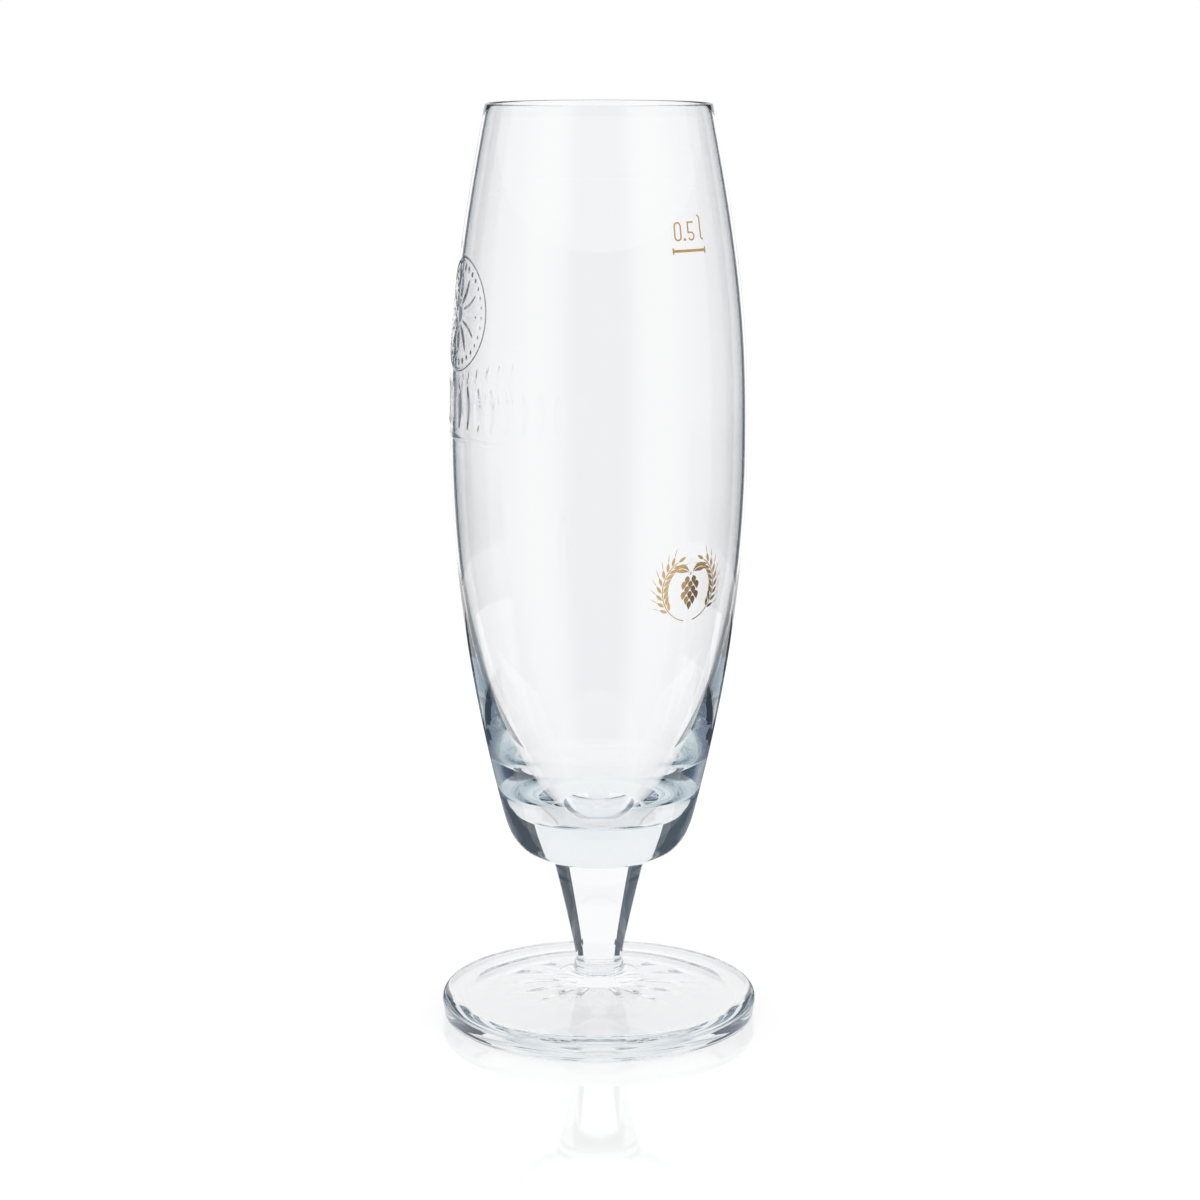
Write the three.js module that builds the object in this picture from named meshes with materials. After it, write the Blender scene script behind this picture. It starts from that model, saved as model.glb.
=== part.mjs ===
// A stemmed half-litre beer goblet in clear glass: a blown barrel bowl with a solid base, a solid tapered
// stem and a pressed foot, butt-fused face to face, with a fill mark and an emblem in fired gold film.
// Millimetres, +Z up. The origin is the middle of the ring that the foot stands on, and -Y is the front.
import * as THREE from "three";

// Foot
const FOOT_RADIUS = 41.6;
const FOOT_EDGE_HEIGHT = 6.9;
const FOOT_EDGE_ROUND = 2.6;
const FOOT_HEEL_ROUND = 0.9;
const FOOT_SIDE_DRAFT = 0.5;
const FOOT_STAND_WIDTH = 4.5;
const FOOT_HOLLOW_DEPTH = 3.4;
const FOOT_HEIGHT = 14.2;
const FOOT_BOSS_FLARE = 5.5;
const FOOT_BOSS_RISE = 3.0;
const SEAM_BEAD = 0.55;

// Stem
const STEM_LENGTH = 28.6;
const STEM_FOOT_RADIUS = 6.0;
const STEM_TOP_RADIUS = 12.2;
const STEM_NECK_RISE = 3.6;

// Bowl
const BOWL_LENGTH = 196.2;
const RIM_RADIUS = 28.8;
const RIM_WALL = 1.1;
const RIM_LEAN = 0.2;
const BELLY_RADIUS = 38.25;
const BELLY_RISE = 110.2;
const BASE_RADIUS = 24.95;
const BASE_RISE = 12.3;
const BASE_LEAN = 0.26;
const BASE_CORNER_DROP = 9.3;
const BASE_UNDERSIDE_RISE = 1.1;
const WALL = 1.3;
const THICK_WALL_RISE = 77.2;
const THICK_WALL_LEAN = 0.116;
const FLOOR_THICKNESS = 12.4;
const FLOOR_RADIUS = 13.2;
const FLOOR_ROUND = 2.2;
const FLOOR_LEAN = THREE.MathUtils.degToRad(52);
const FLOOR_REACH = 17;

// How far each curve's handles reach along the stretch that they shape, as shares of that stretch
const RIM_HANDLE = 0.5;
const BELLY_HANDLE_UP = 0.3;
const BELLY_HANDLE_DOWN = 0.36;
const BASE_HANDLE = 0.28;
const CORNER_HANDLE = 0.5;
const CAVITY_HANDLE = 0.46;

// Gold film
const FILM_THICKNESS = 0.15;
const FILM_CLEARANCE = 0.08;
const FILM_STROKE = 0.38;

// Fill mark, its azimuth measured from the front towards +X
const MARK_AZIMUTH = THREE.MathUtils.degToRad(39.8);
const MARK_DROP = 35.0;
const MARK_LENGTH = 10.6;
const MARK_THICKNESS = 0.66;
const MARK_TICK_HEIGHT = 1.55;
const MARK_TICK_WIDTH = 0.4;
const MARK_TICK_CORNER = 0.02;
const NUMERAL_RISE = 2.4;
const NUMERAL_HEIGHT = 4.65;
const NUMERAL_WIDTH = 2.2;
const LETTER_HEIGHT = 6.2;
const POINT_SIZE = 0.6;
const LETTER_HOOK = 0.74;
const FIVE_HOOK = THREE.MathUtils.degToRad(-153);
const ZERO_ACROSS = -3.4;
const POINT_ACROSS = -1.35;
const FIVE_ACROSS = 0.8;
const LETTER_ACROSS = 4.1;

// Emblem, an upright hop cone with two leaves between two barley ears
const EMBLEM_AZIMUTH = THREE.MathUtils.degToRad(38.4);
const EMBLEM_RISE = 77.2;
const EMBLEM_RADIUS = 8.2;
const EAR_HALF_WIDTH = 1.75;
const EAR_WAIST = 0.55;
const EAR_GRAINS = 8;
const EAR_HEAD_TAPER = 0.75;
const GRAIN_SKEW = 1.6;
const STALK_HALF_WIDTH = 0.22;
const EAR_START = THREE.MathUtils.degToRad(10);
const EAR_END = THREE.MathUtils.degToRad(150);
const STALK_END = THREE.MathUtils.degToRad(52);
const CONE_HEIGHT = 8.6;
const CONE_HALF_WIDTH = 2.9;
const CONE_SCALE_ROWS = 5;
const CONE_NOTCH = 0.55;
const CONE_FULLNESS = 0.7;
const CONE_FOOT_CUT = 0.06;
const CONE_HEAD_CUT = 0.08;
const CONE_DROP = 1.0;
const LEAF_HALF_WIDTH = 0.85;
const LEAF_ARCH = 1.3;
const LEAF_TIP = THREE.MathUtils.degToRad(50);
const LEAF_GAP = 0.6;

// Facets
const ROUND_SEGMENTS = 60;
const STEM_SEGMENTS = 40;
const WALL_STEPS = 8;
const CORNER_STEPS = 6;
const EDGE_STEPS = 4;

// Heights of the faces where the pieces meet, stacked from the ground up
const STEM_SEAT = FOOT_HEIGHT;
const BOWL_SEAT = STEM_SEAT + STEM_LENGTH;
const RIM_TOP = BOWL_SEAT + BOWL_LENGTH;
const BELLY_HEIGHT = BOWL_SEAT + BELLY_RISE;
const BASE_HEIGHT = BOWL_SEAT + BASE_RISE;
const FLOOR_HEIGHT = BOWL_SEAT + FLOOR_THICKNESS;
const THICK_WALL_HEIGHT = BOWL_SEAT + THICK_WALL_RISE;
const LIP_HEIGHT = RIM_TOP - RIM_WALL / 2;

const clearGlass = new THREE.MeshStandardMaterial({
  color: 0xe9eef2,
  roughness: 0.04,
  metalness: 0,
  transparent: true,
  opacity: 0.35,
});
const firedGold = new THREE.MeshStandardMaterial({ color: 0xc8963c, roughness: 0.3, metalness: 1 });

const point = (radius, height) => new THREE.Vector2(radius, height);

// An arc of a rounded edge, from one angle to another around its centre.
function roundedEdge(centre, radius, from, to, steps = EDGE_STEPS) {
  return Array.from({ length: steps + 1 }, (_, i) => {
    const angle = THREE.MathUtils.lerp(from, to, i / steps);
    return point(centre.x + radius * Math.cos(angle), centre.y + radius * Math.sin(angle));
  });
}

// The bowl's outer wall above the belly and below it, and its rounded base corner, each one cubic curve.
const upperSpan = LIP_HEIGHT - BELLY_HEIGHT;
const upperWall = new THREE.CubicBezierCurve(
  point(BELLY_RADIUS, BELLY_HEIGHT),
  point(BELLY_RADIUS, BELLY_HEIGHT + BELLY_HANDLE_UP * upperSpan),
  point(RIM_RADIUS + RIM_LEAN * RIM_HANDLE * upperSpan, LIP_HEIGHT - RIM_HANDLE * upperSpan),
  point(RIM_RADIUS, LIP_HEIGHT),
);
const lowerSpan = BELLY_HEIGHT - BASE_HEIGHT;
const lowerWall = new THREE.CubicBezierCurve(
  point(BASE_RADIUS, BASE_HEIGHT),
  point(BASE_RADIUS + BASE_LEAN * BASE_HANDLE * lowerSpan, BASE_HEIGHT + BASE_HANDLE * lowerSpan),
  point(BELLY_RADIUS, BELLY_HEIGHT - BELLY_HANDLE_DOWN * lowerSpan),
  point(BELLY_RADIUS, BELLY_HEIGHT),
);
const baseCorner = new THREE.CubicBezierCurve(
  point(STEM_TOP_RADIUS, BOWL_SEAT),
  point(THREE.MathUtils.lerp(STEM_TOP_RADIUS, BASE_RADIUS, CORNER_HANDLE), BOWL_SEAT + BASE_UNDERSIDE_RISE),
  point(BASE_RADIUS - BASE_LEAN * BASE_CORNER_DROP, BASE_HEIGHT - BASE_CORNER_DROP),
  point(BASE_RADIUS, BASE_HEIGHT),
);

// The outer radius of the wall at a height, found by halving along the curve that spans it.
function outerRadius(height) {
  const curve = height > BELLY_HEIGHT ? upperWall : lowerWall;
  let low = 0;
  let high = 1;
  let middle = (low + high) / 2;
  while (low < middle && middle < high) {
    if (curve.getPoint(middle).y < height) low = middle;
    else high = middle;
    middle = (low + high) / 2;
  }
  return curve.getPoint(low).x;
}

// The cavity: an even wall that thins towards the lip, then a curve that runs in to a soft corner and
// a flat round floor.
const cavityTop = outerRadius(THICK_WALL_HEIGHT) - WALL;
const cavityDrop = CAVITY_HANDLE * (THICK_WALL_HEIGHT - FLOOR_HEIGHT);
const floorEdge = point(FLOOR_RADIUS, FLOOR_HEIGHT);
const floorRise = point(Math.cos(FLOOR_LEAN), Math.sin(FLOOR_LEAN));
const cornerTop = floorEdge.clone().addScaledVector(floorRise, FLOOR_ROUND);
const cavityEnd = new THREE.CubicBezierCurve(
  point(cavityTop, THICK_WALL_HEIGHT),
  point(cavityTop - THICK_WALL_LEAN * cavityDrop, THICK_WALL_HEIGHT - cavityDrop),
  floorEdge.clone().addScaledVector(floorRise, FLOOR_REACH),
  cornerTop,
);
const floorCorner = new THREE.QuadraticBezierCurve(
  cornerTop,
  floorEdge,
  point(FLOOR_RADIUS - FLOOR_ROUND, FLOOR_HEIGHT),
);

function wallAt(height) {
  const share = (height - THICK_WALL_HEIGHT) / (LIP_HEIGHT - THICK_WALL_HEIGHT);
  return THREE.MathUtils.lerp(WALL, RIM_WALL, Math.max(0, share) ** 2);
}

// Turns a profile about the upright axis.
function turned(profile, segments) {
  return new THREE.LatheGeometry(profile, segments).rotateX(Math.PI / 2);
}

function bowlGeometry() {
  const lip = point(RIM_RADIUS - RIM_WALL / 2, LIP_HEIGHT);
  const innerWall = Array.from({ length: WALL_STEPS }, (_, i) => {
    const height = THREE.MathUtils.lerp(LIP_HEIGHT, THICK_WALL_HEIGHT, (i + 1) / WALL_STEPS);
    return point(outerRadius(height) - wallAt(height), height);
  });
  return turned(
    [
      point(0, BOWL_SEAT),
      ...baseCorner.getPoints(CORNER_STEPS),
      ...lowerWall.getPoints(WALL_STEPS).slice(1),
      ...upperWall.getPoints(WALL_STEPS).slice(1),
      ...roundedEdge(lip, RIM_WALL / 2, 0, Math.PI).slice(1),
      ...innerWall,
      ...cavityEnd.getPoints(WALL_STEPS).slice(1),
      ...floorCorner.getPoints(EDGE_STEPS).slice(1),
      point(0, FLOOR_HEIGHT),
    ],
    ROUND_SEGMENTS,
  );
}

function stemGeometry() {
  const side = new THREE.QuadraticBezierCurve(
    point(STEM_FOOT_RADIUS, STEM_SEAT),
    point(STEM_FOOT_RADIUS, STEM_SEAT + STEM_NECK_RISE),
    point(STEM_TOP_RADIUS, BOWL_SEAT),
  );
  return turned([point(0, STEM_SEAT), ...side.getPoints(CORNER_STEPS), point(0, BOWL_SEAT)], STEM_SEGMENTS);
}

function footGeometry() {
  const standOuter = FOOT_RADIUS - FOOT_SIDE_DRAFT - FOOT_HEEL_ROUND;
  const standInner = standOuter - FOOT_STAND_WIDTH;
  const hollow = new THREE.QuadraticBezierCurve(
    point(0, FOOT_HOLLOW_DEPTH),
    point(standInner / 2, FOOT_HOLLOW_DEPTH),
    point(standInner, 0),
  );
  const heel = roundedEdge(point(standOuter, FOOT_HEEL_ROUND), FOOT_HEEL_ROUND, -Math.PI / 2, 0);
  const edgeCentre = point(FOOT_RADIUS - FOOT_EDGE_ROUND, FOOT_EDGE_HEIGHT - FOOT_EDGE_ROUND);
  const edge = roundedEdge(edgeCentre, FOOT_EDGE_ROUND, 0, Math.PI / 2);
  const boss = new THREE.CubicBezierCurve(
    point(STEM_FOOT_RADIUS + FOOT_BOSS_FLARE, STEM_SEAT - 2 * SEAM_BEAD - FOOT_BOSS_RISE),
    point(STEM_FOOT_RADIUS + FOOT_BOSS_FLARE / 2, STEM_SEAT - 2 * SEAM_BEAD - FOOT_BOSS_RISE / 2),
    point(STEM_FOOT_RADIUS, STEM_SEAT - 2 * SEAM_BEAD - FOOT_BOSS_RISE / 2),
    point(STEM_FOOT_RADIUS, STEM_SEAT - 2 * SEAM_BEAD),
  );
  const beadCentre = point(STEM_FOOT_RADIUS, STEM_SEAT - SEAM_BEAD);
  const bead = roundedEdge(beadCentre, SEAM_BEAD, -Math.PI / 2, Math.PI / 2);
  return turned(
    [
      ...hollow.getPoints(CORNER_STEPS),
      ...heel,
      ...edge,
      ...boss.getPoints(CORNER_STEPS),
      ...bead.slice(1),
      point(0, STEM_SEAT),
    ],
    ROUND_SEGMENTS,
  );
}

// A point of the film's drawing, [across, up] from its place on the bowl, lifted off the glass.
function onBowl(place, [across, up], lift) {
  const height = place.height + up;
  const radius = outerRadius(height) + lift;
  const azimuth = place.azimuth + across / outerRadius(place.height);
  return [radius * Math.sin(azimuth), -radius * Math.cos(azimuth), height];
}

// A closed strip of film on the bowl. Each row is a [left, right] pair of drawing points, cut into columns
// so that the strip follows the curve of the glass; a looped strip joins its last row to its first.
function filmGeometry(place, rows, columns = 1, looped = false) {
  const positions = [];
  for (const [left, right] of rows) {
    for (const lift of [FILM_CLEARANCE, FILM_CLEARANCE + FILM_THICKNESS]) {
      for (let i = 0; i <= columns; i += 1) {
        const share = i / columns;
        const across = THREE.MathUtils.lerp(left[0], right[0], share);
        const up = THREE.MathUtils.lerp(left[1], right[1], share);
        positions.push(...onBowl(place, [across, up], lift));
      }
    }
  }
  const ring = 2 * (columns + 1);
  const under = (row, column) => (row % rows.length) * ring + column;
  const over = (row, column) => under(row, column) + columns + 1;
  const faces = [];
  const quad = (a, b, c, d) => faces.push(a, b, c, a, c, d);
  const last = looped ? rows.length : rows.length - 1;
  for (let r = 0; r < last; r += 1) {
    for (let c = 0; c < columns; c += 1) {
      quad(over(r, c), over(r, c + 1), over(r + 1, c + 1), over(r + 1, c));
      quad(under(r, c + 1), under(r, c), under(r + 1, c), under(r + 1, c + 1));
    }
    quad(under(r, 0), over(r, 0), over(r + 1, 0), under(r + 1, 0));
    quad(over(r, columns), under(r, columns), under(r + 1, columns), over(r + 1, columns));
  }
  if (!looped) {
    for (let c = 0; c < columns; c += 1) {
      quad(under(0, c), under(0, c + 1), over(0, c + 1), over(0, c));
      quad(under(last, c + 1), under(last, c), over(last, c), over(last, c + 1));
    }
  }
  const geometry = new THREE.BufferGeometry();
  geometry.setAttribute("position", new THREE.Float32BufferAttribute(positions, 3));
  geometry.setIndex(faces);
  return geometry;
}

// The rows of a strip along a path drawn upwards or clockwise, with its half width on each side.
function rowsAlong(points, halfWidth) {
  return points.map((p, i) => {
    const before = points[Math.max(0, i - 1)];
    const after = points[Math.min(points.length - 1, i + 1)];
    const along = new THREE.Vector2().subVectors(after, before).normalize();
    const [left, right] = halfWidth(i / (points.length - 1));
    return [
      [p.x - along.y * left, p.y + along.x * left],
      [p.x + along.y * right, p.y - along.x * right],
    ];
  });
}

const evenStroke = () => [FILM_STROKE / 2, FILM_STROKE / 2];

function fillLineGeometry(place) {
  const half = MARK_LENGTH / 2;
  const shoulder = half - MARK_TICK_WIDTH;
  const bar = Array.from({ length: WALL_STEPS + 1 }, (_, i) => {
    return [THREE.MathUtils.lerp(-shoulder, shoulder, i / WALL_STEPS), MARK_THICKNESS / 2];
  });
  const tick = MARK_TICK_HEIGHT / 2;
  const outline = [
    [-half, tick],
    [-shoulder - MARK_TICK_CORNER, tick],
    ...bar,
    [shoulder + MARK_TICK_CORNER, tick],
    [half, tick],
  ];
  return filmGeometry(
    place,
    outline.map(([across, up]) => [
      [across, up],
      [across, -up],
    ]),
  );
}

// The figure nought: a tall ring with round ends.
function noughtGeometry(place) {
  const bend = NUMERAL_WIDTH / 2;
  const straight = NUMERAL_HEIGHT / 2 - bend;
  const ring = (inset) =>
    [1, -1].flatMap((side) =>
      roundedEdge(
        point(0, side * straight),
        bend - inset,
        side > 0 ? Math.PI : 0,
        side > 0 ? 0 : -Math.PI,
        2 * EDGE_STEPS,
      ),
    );
  const outer = ring(0);
  const inner = ring(FILM_STROKE);
  const rows = outer.map((p, i) => [
    [p.x, p.y + NUMERAL_HEIGHT / 2],
    [inner[i].x, inner[i].y + NUMERAL_HEIGHT / 2],
  ]);
  return filmGeometry(place, rows, 1, true);
}

function pointGeometry(place) {
  const half = POINT_SIZE / 2;
  const rows = [-half, half].map((up) => [
    [-half, up + half],
    [half, up + half],
  ]);
  return filmGeometry(place, rows);
}

// The figure five: one stroke from the hook at its foot, round its belly and up to its flag.
function fiveGeometry(place) {
  const bend = NUMERAL_WIDTH / 2 - FILM_STROKE / 2;
  const belly = FILM_STROKE / 2 + bend;
  const waist = belly + bend;
  const top = NUMERAL_HEIGHT - FILM_STROKE / 2;
  const left = FILM_STROKE / 2 - NUMERAL_WIDTH / 2;
  const path = [
    ...roundedEdge(point(0, belly), bend, FIVE_HOOK, Math.PI / 2, 2 * CORNER_STEPS),
    point(left / 2, waist),
    point(left, waist),
    point(left, (waist + top) / 2),
    point(left, top),
    point(left / 2, top),
    point(-left, top),
  ];
  return filmGeometry(place, rowsAlong(path, evenStroke));
}

// The letter for litres: an upright with a small hook to the left at its head and to the right at its foot.
function letterGeometry(place) {
  const hook = LETTER_HOOK;
  const foot = FILM_STROKE / 2;
  const head = LETTER_HEIGHT - FILM_STROKE / 2;
  const path = [
    point(hook, foot),
    ...roundedEdge(point(hook, foot + hook), hook, -Math.PI / 2, -Math.PI).slice(1),
    ...roundedEdge(point(-hook, head - hook), hook, 0, Math.PI / 2),
  ];
  return filmGeometry(place, rowsAlong(path, evenStroke));
}

// A barley ear that bends round the emblem from its foot to its head, side +1 to the right and -1 to the
// left. Its stalk is an even stroke, and then each grain swells out of the waist and ends in a step.
function earGeometry(place, side) {
  const steps = EAR_GRAINS * CORNER_STEPS;
  const stalkShare = (STALK_END - EAR_START) / (EAR_END - EAR_START);
  const path = Array.from({ length: steps + 1 }, (_, i) => {
    const angle = THREE.MathUtils.lerp(EAR_START, EAR_END, i / steps);
    return point(side * EMBLEM_RADIUS * Math.sin(angle), -EMBLEM_RADIUS * Math.cos(angle));
  });
  const grainWidth = (share, shift) => {
    if (share < stalkShare) return STALK_HALF_WIDTH;
    const along = (share - stalkShare) / (1 - stalkShare);
    const phase = (along * EAR_GRAINS + shift) % 1;
    const taper = 1 - EAR_HEAD_TAPER * along ** 3;
    return (EAR_WAIST + (EAR_HALF_WIDTH - EAR_WAIST) * Math.sin(Math.PI * phase ** GRAIN_SKEW)) * taper;
  };
  const rows = rowsAlong(path, (share) => [grainWidth(share, 0), grainWidth(share, 0.5)]);
  return filmGeometry(place, rows, 2);
}

// A hop cone seen from the side: an egg outline, notched where each row of scales ends.
function coneGeometry(place) {
  const steps = CONE_SCALE_ROWS * CORNER_STEPS;
  const path = Array.from({ length: steps + 1 }, (_, i) => {
    return point(0, CONE_HEIGHT * (i / steps - 0.5) - CONE_DROP);
  });
  const scaleWidth = (share) => {
    const round = THREE.MathUtils.lerp(CONE_FOOT_CUT, 1 - CONE_HEAD_CUT, share);
    const egg = CONE_HALF_WIDTH * Math.sin(Math.PI * round) ** CONE_FULLNESS;
    const notch = CONE_NOTCH * ((share * CONE_SCALE_ROWS) % 1);
    const width = Math.max(egg - CONE_NOTCH + notch, STALK_HALF_WIDTH);
    return [width, width];
  };
  return filmGeometry(place, rowsAlong(path, scaleWidth), 4);
}

// A pointed leaf that arches from beside the cone's head towards the ear, and stops short of it.
function leafGeometry(place, side) {
  const reach = EMBLEM_RADIUS - EAR_HALF_WIDTH - LEAF_GAP;
  const foot = point(side * LEAF_GAP, CONE_HEIGHT / 2 - CONE_DROP + LEAF_GAP);
  const tip = point(side * reach * Math.sin(LEAF_TIP), reach * Math.cos(LEAF_TIP));
  const arch = point((foot.x + tip.x) / 2, (foot.y + tip.y) / 2 + LEAF_ARCH);
  const path = new THREE.QuadraticBezierCurve(foot, arch, tip).getPoints(WALL_STEPS);
  const leafWidth = (share) => {
    const width = Math.max(LEAF_HALF_WIDTH * Math.sin(Math.PI * share), STALK_HALF_WIDTH / 2);
    return [width, width];
  };
  return filmGeometry(place, rowsAlong(path, leafWidth), 2);
}

const goblet = new THREE.Group();

function addPiece(name, geometry, material) {
  const mesh = new THREE.Mesh(geometry, material);
  mesh.name = name;
  goblet.add(mesh);
}

addPiece("foot", footGeometry(), clearGlass);
addPiece("stem", stemGeometry(), clearGlass);
addPiece("bowl", bowlGeometry(), clearGlass);

const markHeight = RIM_TOP - MARK_DROP;
const markRadius = outerRadius(markHeight);
const markPlace = (across, up) => ({
  azimuth: MARK_AZIMUTH + across / markRadius,
  height: markHeight + up,
});
addPiece("fill_line", fillLineGeometry(markPlace(0, 0)), firedGold);
addPiece("numeral_zero", noughtGeometry(markPlace(ZERO_ACROSS, NUMERAL_RISE)), firedGold);
addPiece("decimal_point", pointGeometry(markPlace(POINT_ACROSS, NUMERAL_RISE)), firedGold);
addPiece("numeral_five", fiveGeometry(markPlace(FIVE_ACROSS, NUMERAL_RISE)), firedGold);
addPiece("litre_letter", letterGeometry(markPlace(LETTER_ACROSS, NUMERAL_RISE)), firedGold);

const emblemPlace = { azimuth: EMBLEM_AZIMUTH, height: BOWL_SEAT + EMBLEM_RISE };
addPiece("emblem_hop_cone", coneGeometry(emblemPlace), firedGold);
for (const [word, side] of [["left", -1], ["right", 1]]) {
  addPiece("emblem_ear_" + word, earGeometry(emblemPlace, side), firedGold);
  addPiece("emblem_leaf_" + word, leafGeometry(emblemPlace, side), firedGold);
}

export default goblet;
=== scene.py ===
# %% [markdown]
# # A half-litre beer goblet in clear glass
#
# This lesson dresses a tall stemmed beer glass. The construction model already fixes every size: a
# blown bowl with a solid base, a solid stem and a pressed foot, and ten small islands of fired gold
# film. Glass shows little of its own. What we see in it is the room, bent by its walls, so the work
# is in true smooth walls, in good joints between the pieces, and in what stands round the glass to be
# seen through it.

# %% Load the frame
import math
from functools import lru_cache

import bmesh
import bpy
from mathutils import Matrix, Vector
from mathutils.geometry import interpolate_bezier


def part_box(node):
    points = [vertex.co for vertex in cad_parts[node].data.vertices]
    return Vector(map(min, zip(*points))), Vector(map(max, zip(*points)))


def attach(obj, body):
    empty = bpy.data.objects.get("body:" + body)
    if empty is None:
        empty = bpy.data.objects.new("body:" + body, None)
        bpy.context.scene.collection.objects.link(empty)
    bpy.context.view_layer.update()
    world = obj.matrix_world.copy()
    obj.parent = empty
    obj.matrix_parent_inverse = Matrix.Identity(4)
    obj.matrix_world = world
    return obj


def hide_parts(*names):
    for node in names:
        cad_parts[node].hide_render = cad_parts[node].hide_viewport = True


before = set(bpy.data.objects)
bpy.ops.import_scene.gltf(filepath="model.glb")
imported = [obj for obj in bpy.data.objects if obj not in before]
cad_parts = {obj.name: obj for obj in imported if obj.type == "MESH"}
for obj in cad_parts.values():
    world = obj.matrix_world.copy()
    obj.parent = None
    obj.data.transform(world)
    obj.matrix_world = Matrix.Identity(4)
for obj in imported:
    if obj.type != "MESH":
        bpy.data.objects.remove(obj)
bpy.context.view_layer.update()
MM = 0.001
print("nodes in the frame:", len(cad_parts))

# %% [markdown]
# ## Camera
#
# The picture was taken from in front, a little above the rim, looking down. The ellipses of the mouth
# and the foot give the height and the tilt: the mouth is almost edge-on, while the foot is seen from
# well above. A long lens keeps the sides of the bowl nearly parallel to the line of sight.

# %% Place the camera
IMAGE_SIDE = 1200
FOCAL_PIXELS = 2973
SENSOR_WIDTH = 36.0
CAMERA_DISTANCE = 758.0 * MM
CAMERA_HEIGHT = 260.1 * MM
CAMERA_ASIDE = 0.3 * MM
CAMERA_TILT = math.radians(11.09)

camera_data = bpy.data.cameras.new("camera")
camera_data.sensor_width = SENSOR_WIDTH
camera_data.lens = SENSOR_WIDTH * FOCAL_PIXELS / IMAGE_SIDE
camera = bpy.data.objects.new("camera", camera_data)
bpy.context.scene.collection.objects.link(camera)
camera.location = (CAMERA_ASIDE, -CAMERA_DISTANCE, CAMERA_HEIGHT)
camera.rotation_euler = (math.pi / 2 - CAMERA_TILT, 0, 0)
bpy.context.scene.camera = camera
bpy.context.scene.view_settings.view_transform = "Standard"
print("lens in mm:", round(camera_data.lens, 1))

# %% [markdown]
# ## Sizes from the frame
#
# The heights where the pieces meet and the widest radii are read from the frame, so that a new pack
# of the same glass needs no new numbers here. What a box can't tell, such as the wall or the lean of
# a curve, is named below in real millimetres.

# %% Read the heights and radii
_, foot_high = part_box("foot")
stem_low, stem_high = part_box("stem")
bowl_low, bowl_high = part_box("bowl")
STEM_SEAT = stem_low.z
BOWL_SEAT = bowl_low.z
RIM_TOP = bowl_high.z
FOOT_RADIUS = foot_high.x
STEM_TOP_RADIUS = stem_high.x
BELLY_RADIUS = bowl_high.x
print("seats and rim in mm:", [round(h / MM, 1) for h in (STEM_SEAT, BOWL_SEAT, RIM_TOP)])

# %% [markdown]
# ## The wall of the bowl as curves
#
# A blown bowl has no straight line in its side. Two cubic curves meet at the belly, where both are
# upright, and a third rounds the base into the stem. Blender's own curve sampler walks along them.
# The film and the relief need the radius at any height, and halving along the curve finds it.

# %% Describe the outer wall
RIM_RADIUS = 28.8 * MM
RIM_WALL = 1.1 * MM
RIM_LEAN = 0.2
RIM_HANDLE = 0.5
BELLY_HEIGHT = BOWL_SEAT + 110.2 * MM
BELLY_HANDLE_UP = 0.3
BELLY_HANDLE_DOWN = 0.36
BASE_RADIUS = 24.95 * MM
BASE_HEIGHT = BOWL_SEAT + 12.3 * MM
BASE_LEAN = 0.26
BASE_HANDLE = 0.28
BASE_CORNER_DROP = 9.3 * MM
BASE_UNDERSIDE_RISE = 1.1 * MM
LIP_HEIGHT = RIM_TOP - RIM_WALL / 2


def point(radius, height):
    """A place on an upright half section, or across and up on a flat drawing."""
    return Vector((radius, height))


upper_span = LIP_HEIGHT - BELLY_HEIGHT
lower_span = BELLY_HEIGHT - BASE_HEIGHT
UPPER_WALL = (
    point(BELLY_RADIUS, BELLY_HEIGHT),
    point(BELLY_RADIUS, BELLY_HEIGHT + BELLY_HANDLE_UP * upper_span),
    point(RIM_RADIUS + RIM_LEAN * RIM_HANDLE * upper_span, LIP_HEIGHT - RIM_HANDLE * upper_span),
    point(RIM_RADIUS, LIP_HEIGHT),
)
LOWER_WALL = (
    point(BASE_RADIUS, BASE_HEIGHT),
    point(BASE_RADIUS + BASE_LEAN * BASE_HANDLE * lower_span, BASE_HEIGHT + BASE_HANDLE * lower_span),
    point(BELLY_RADIUS, BELLY_HEIGHT - BELLY_HANDLE_DOWN * lower_span),
    point(BELLY_RADIUS, BELLY_HEIGHT),
)
BASE_CORNER = (
    point(STEM_TOP_RADIUS, BOWL_SEAT),
    point((STEM_TOP_RADIUS + BASE_RADIUS) / 2, BOWL_SEAT + BASE_UNDERSIDE_RISE),
    point(BASE_RADIUS - BASE_LEAN * BASE_CORNER_DROP, BASE_HEIGHT - BASE_CORNER_DROP),
    point(BASE_RADIUS, BASE_HEIGHT),
)
print("belly and base heights in mm:", round(BELLY_HEIGHT / MM, 1), round(BASE_HEIGHT / MM, 1))

# %% Find the outer radius at a height
HALVINGS = 40


def on_curve(curve, share):
    """The point at a share of one cubic curve."""
    start, out, back, end = curve
    rest = 1 - share
    near = rest**3 * start + 3 * rest**2 * share * out
    return near + 3 * rest * share**2 * back + share**3 * end


@lru_cache(maxsize=None)
def wall_radius(height):
    """The outer radius of the bowl at a height, found by halving along the curve that spans it."""
    curve = UPPER_WALL if height > BELLY_HEIGHT else LOWER_WALL
    low, high = 0.0, 1.0
    for _ in range(HALVINGS):
        middle = (low + high) / 2
        if on_curve(curve, middle).y < height:
            low = middle
        else:
            high = middle
    return on_curve(curve, low).x


print("radius at two thirds of the height in mm:", round(wall_radius(RIM_TOP * 2 / 3) / MM, 2))

# %% [markdown]
# ## The hollow of the bowl
#
# The wall is even down to the lower third and a little thinner at the drawn lip. From there the
# hollow runs in faster than the outside, so the glass thickens into a heavy clear base. The plunger
# that opened the hollow had a flat tip, which leaves a round flat floor with a soft corner. That
# thick wall is what bends the light most.

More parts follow.
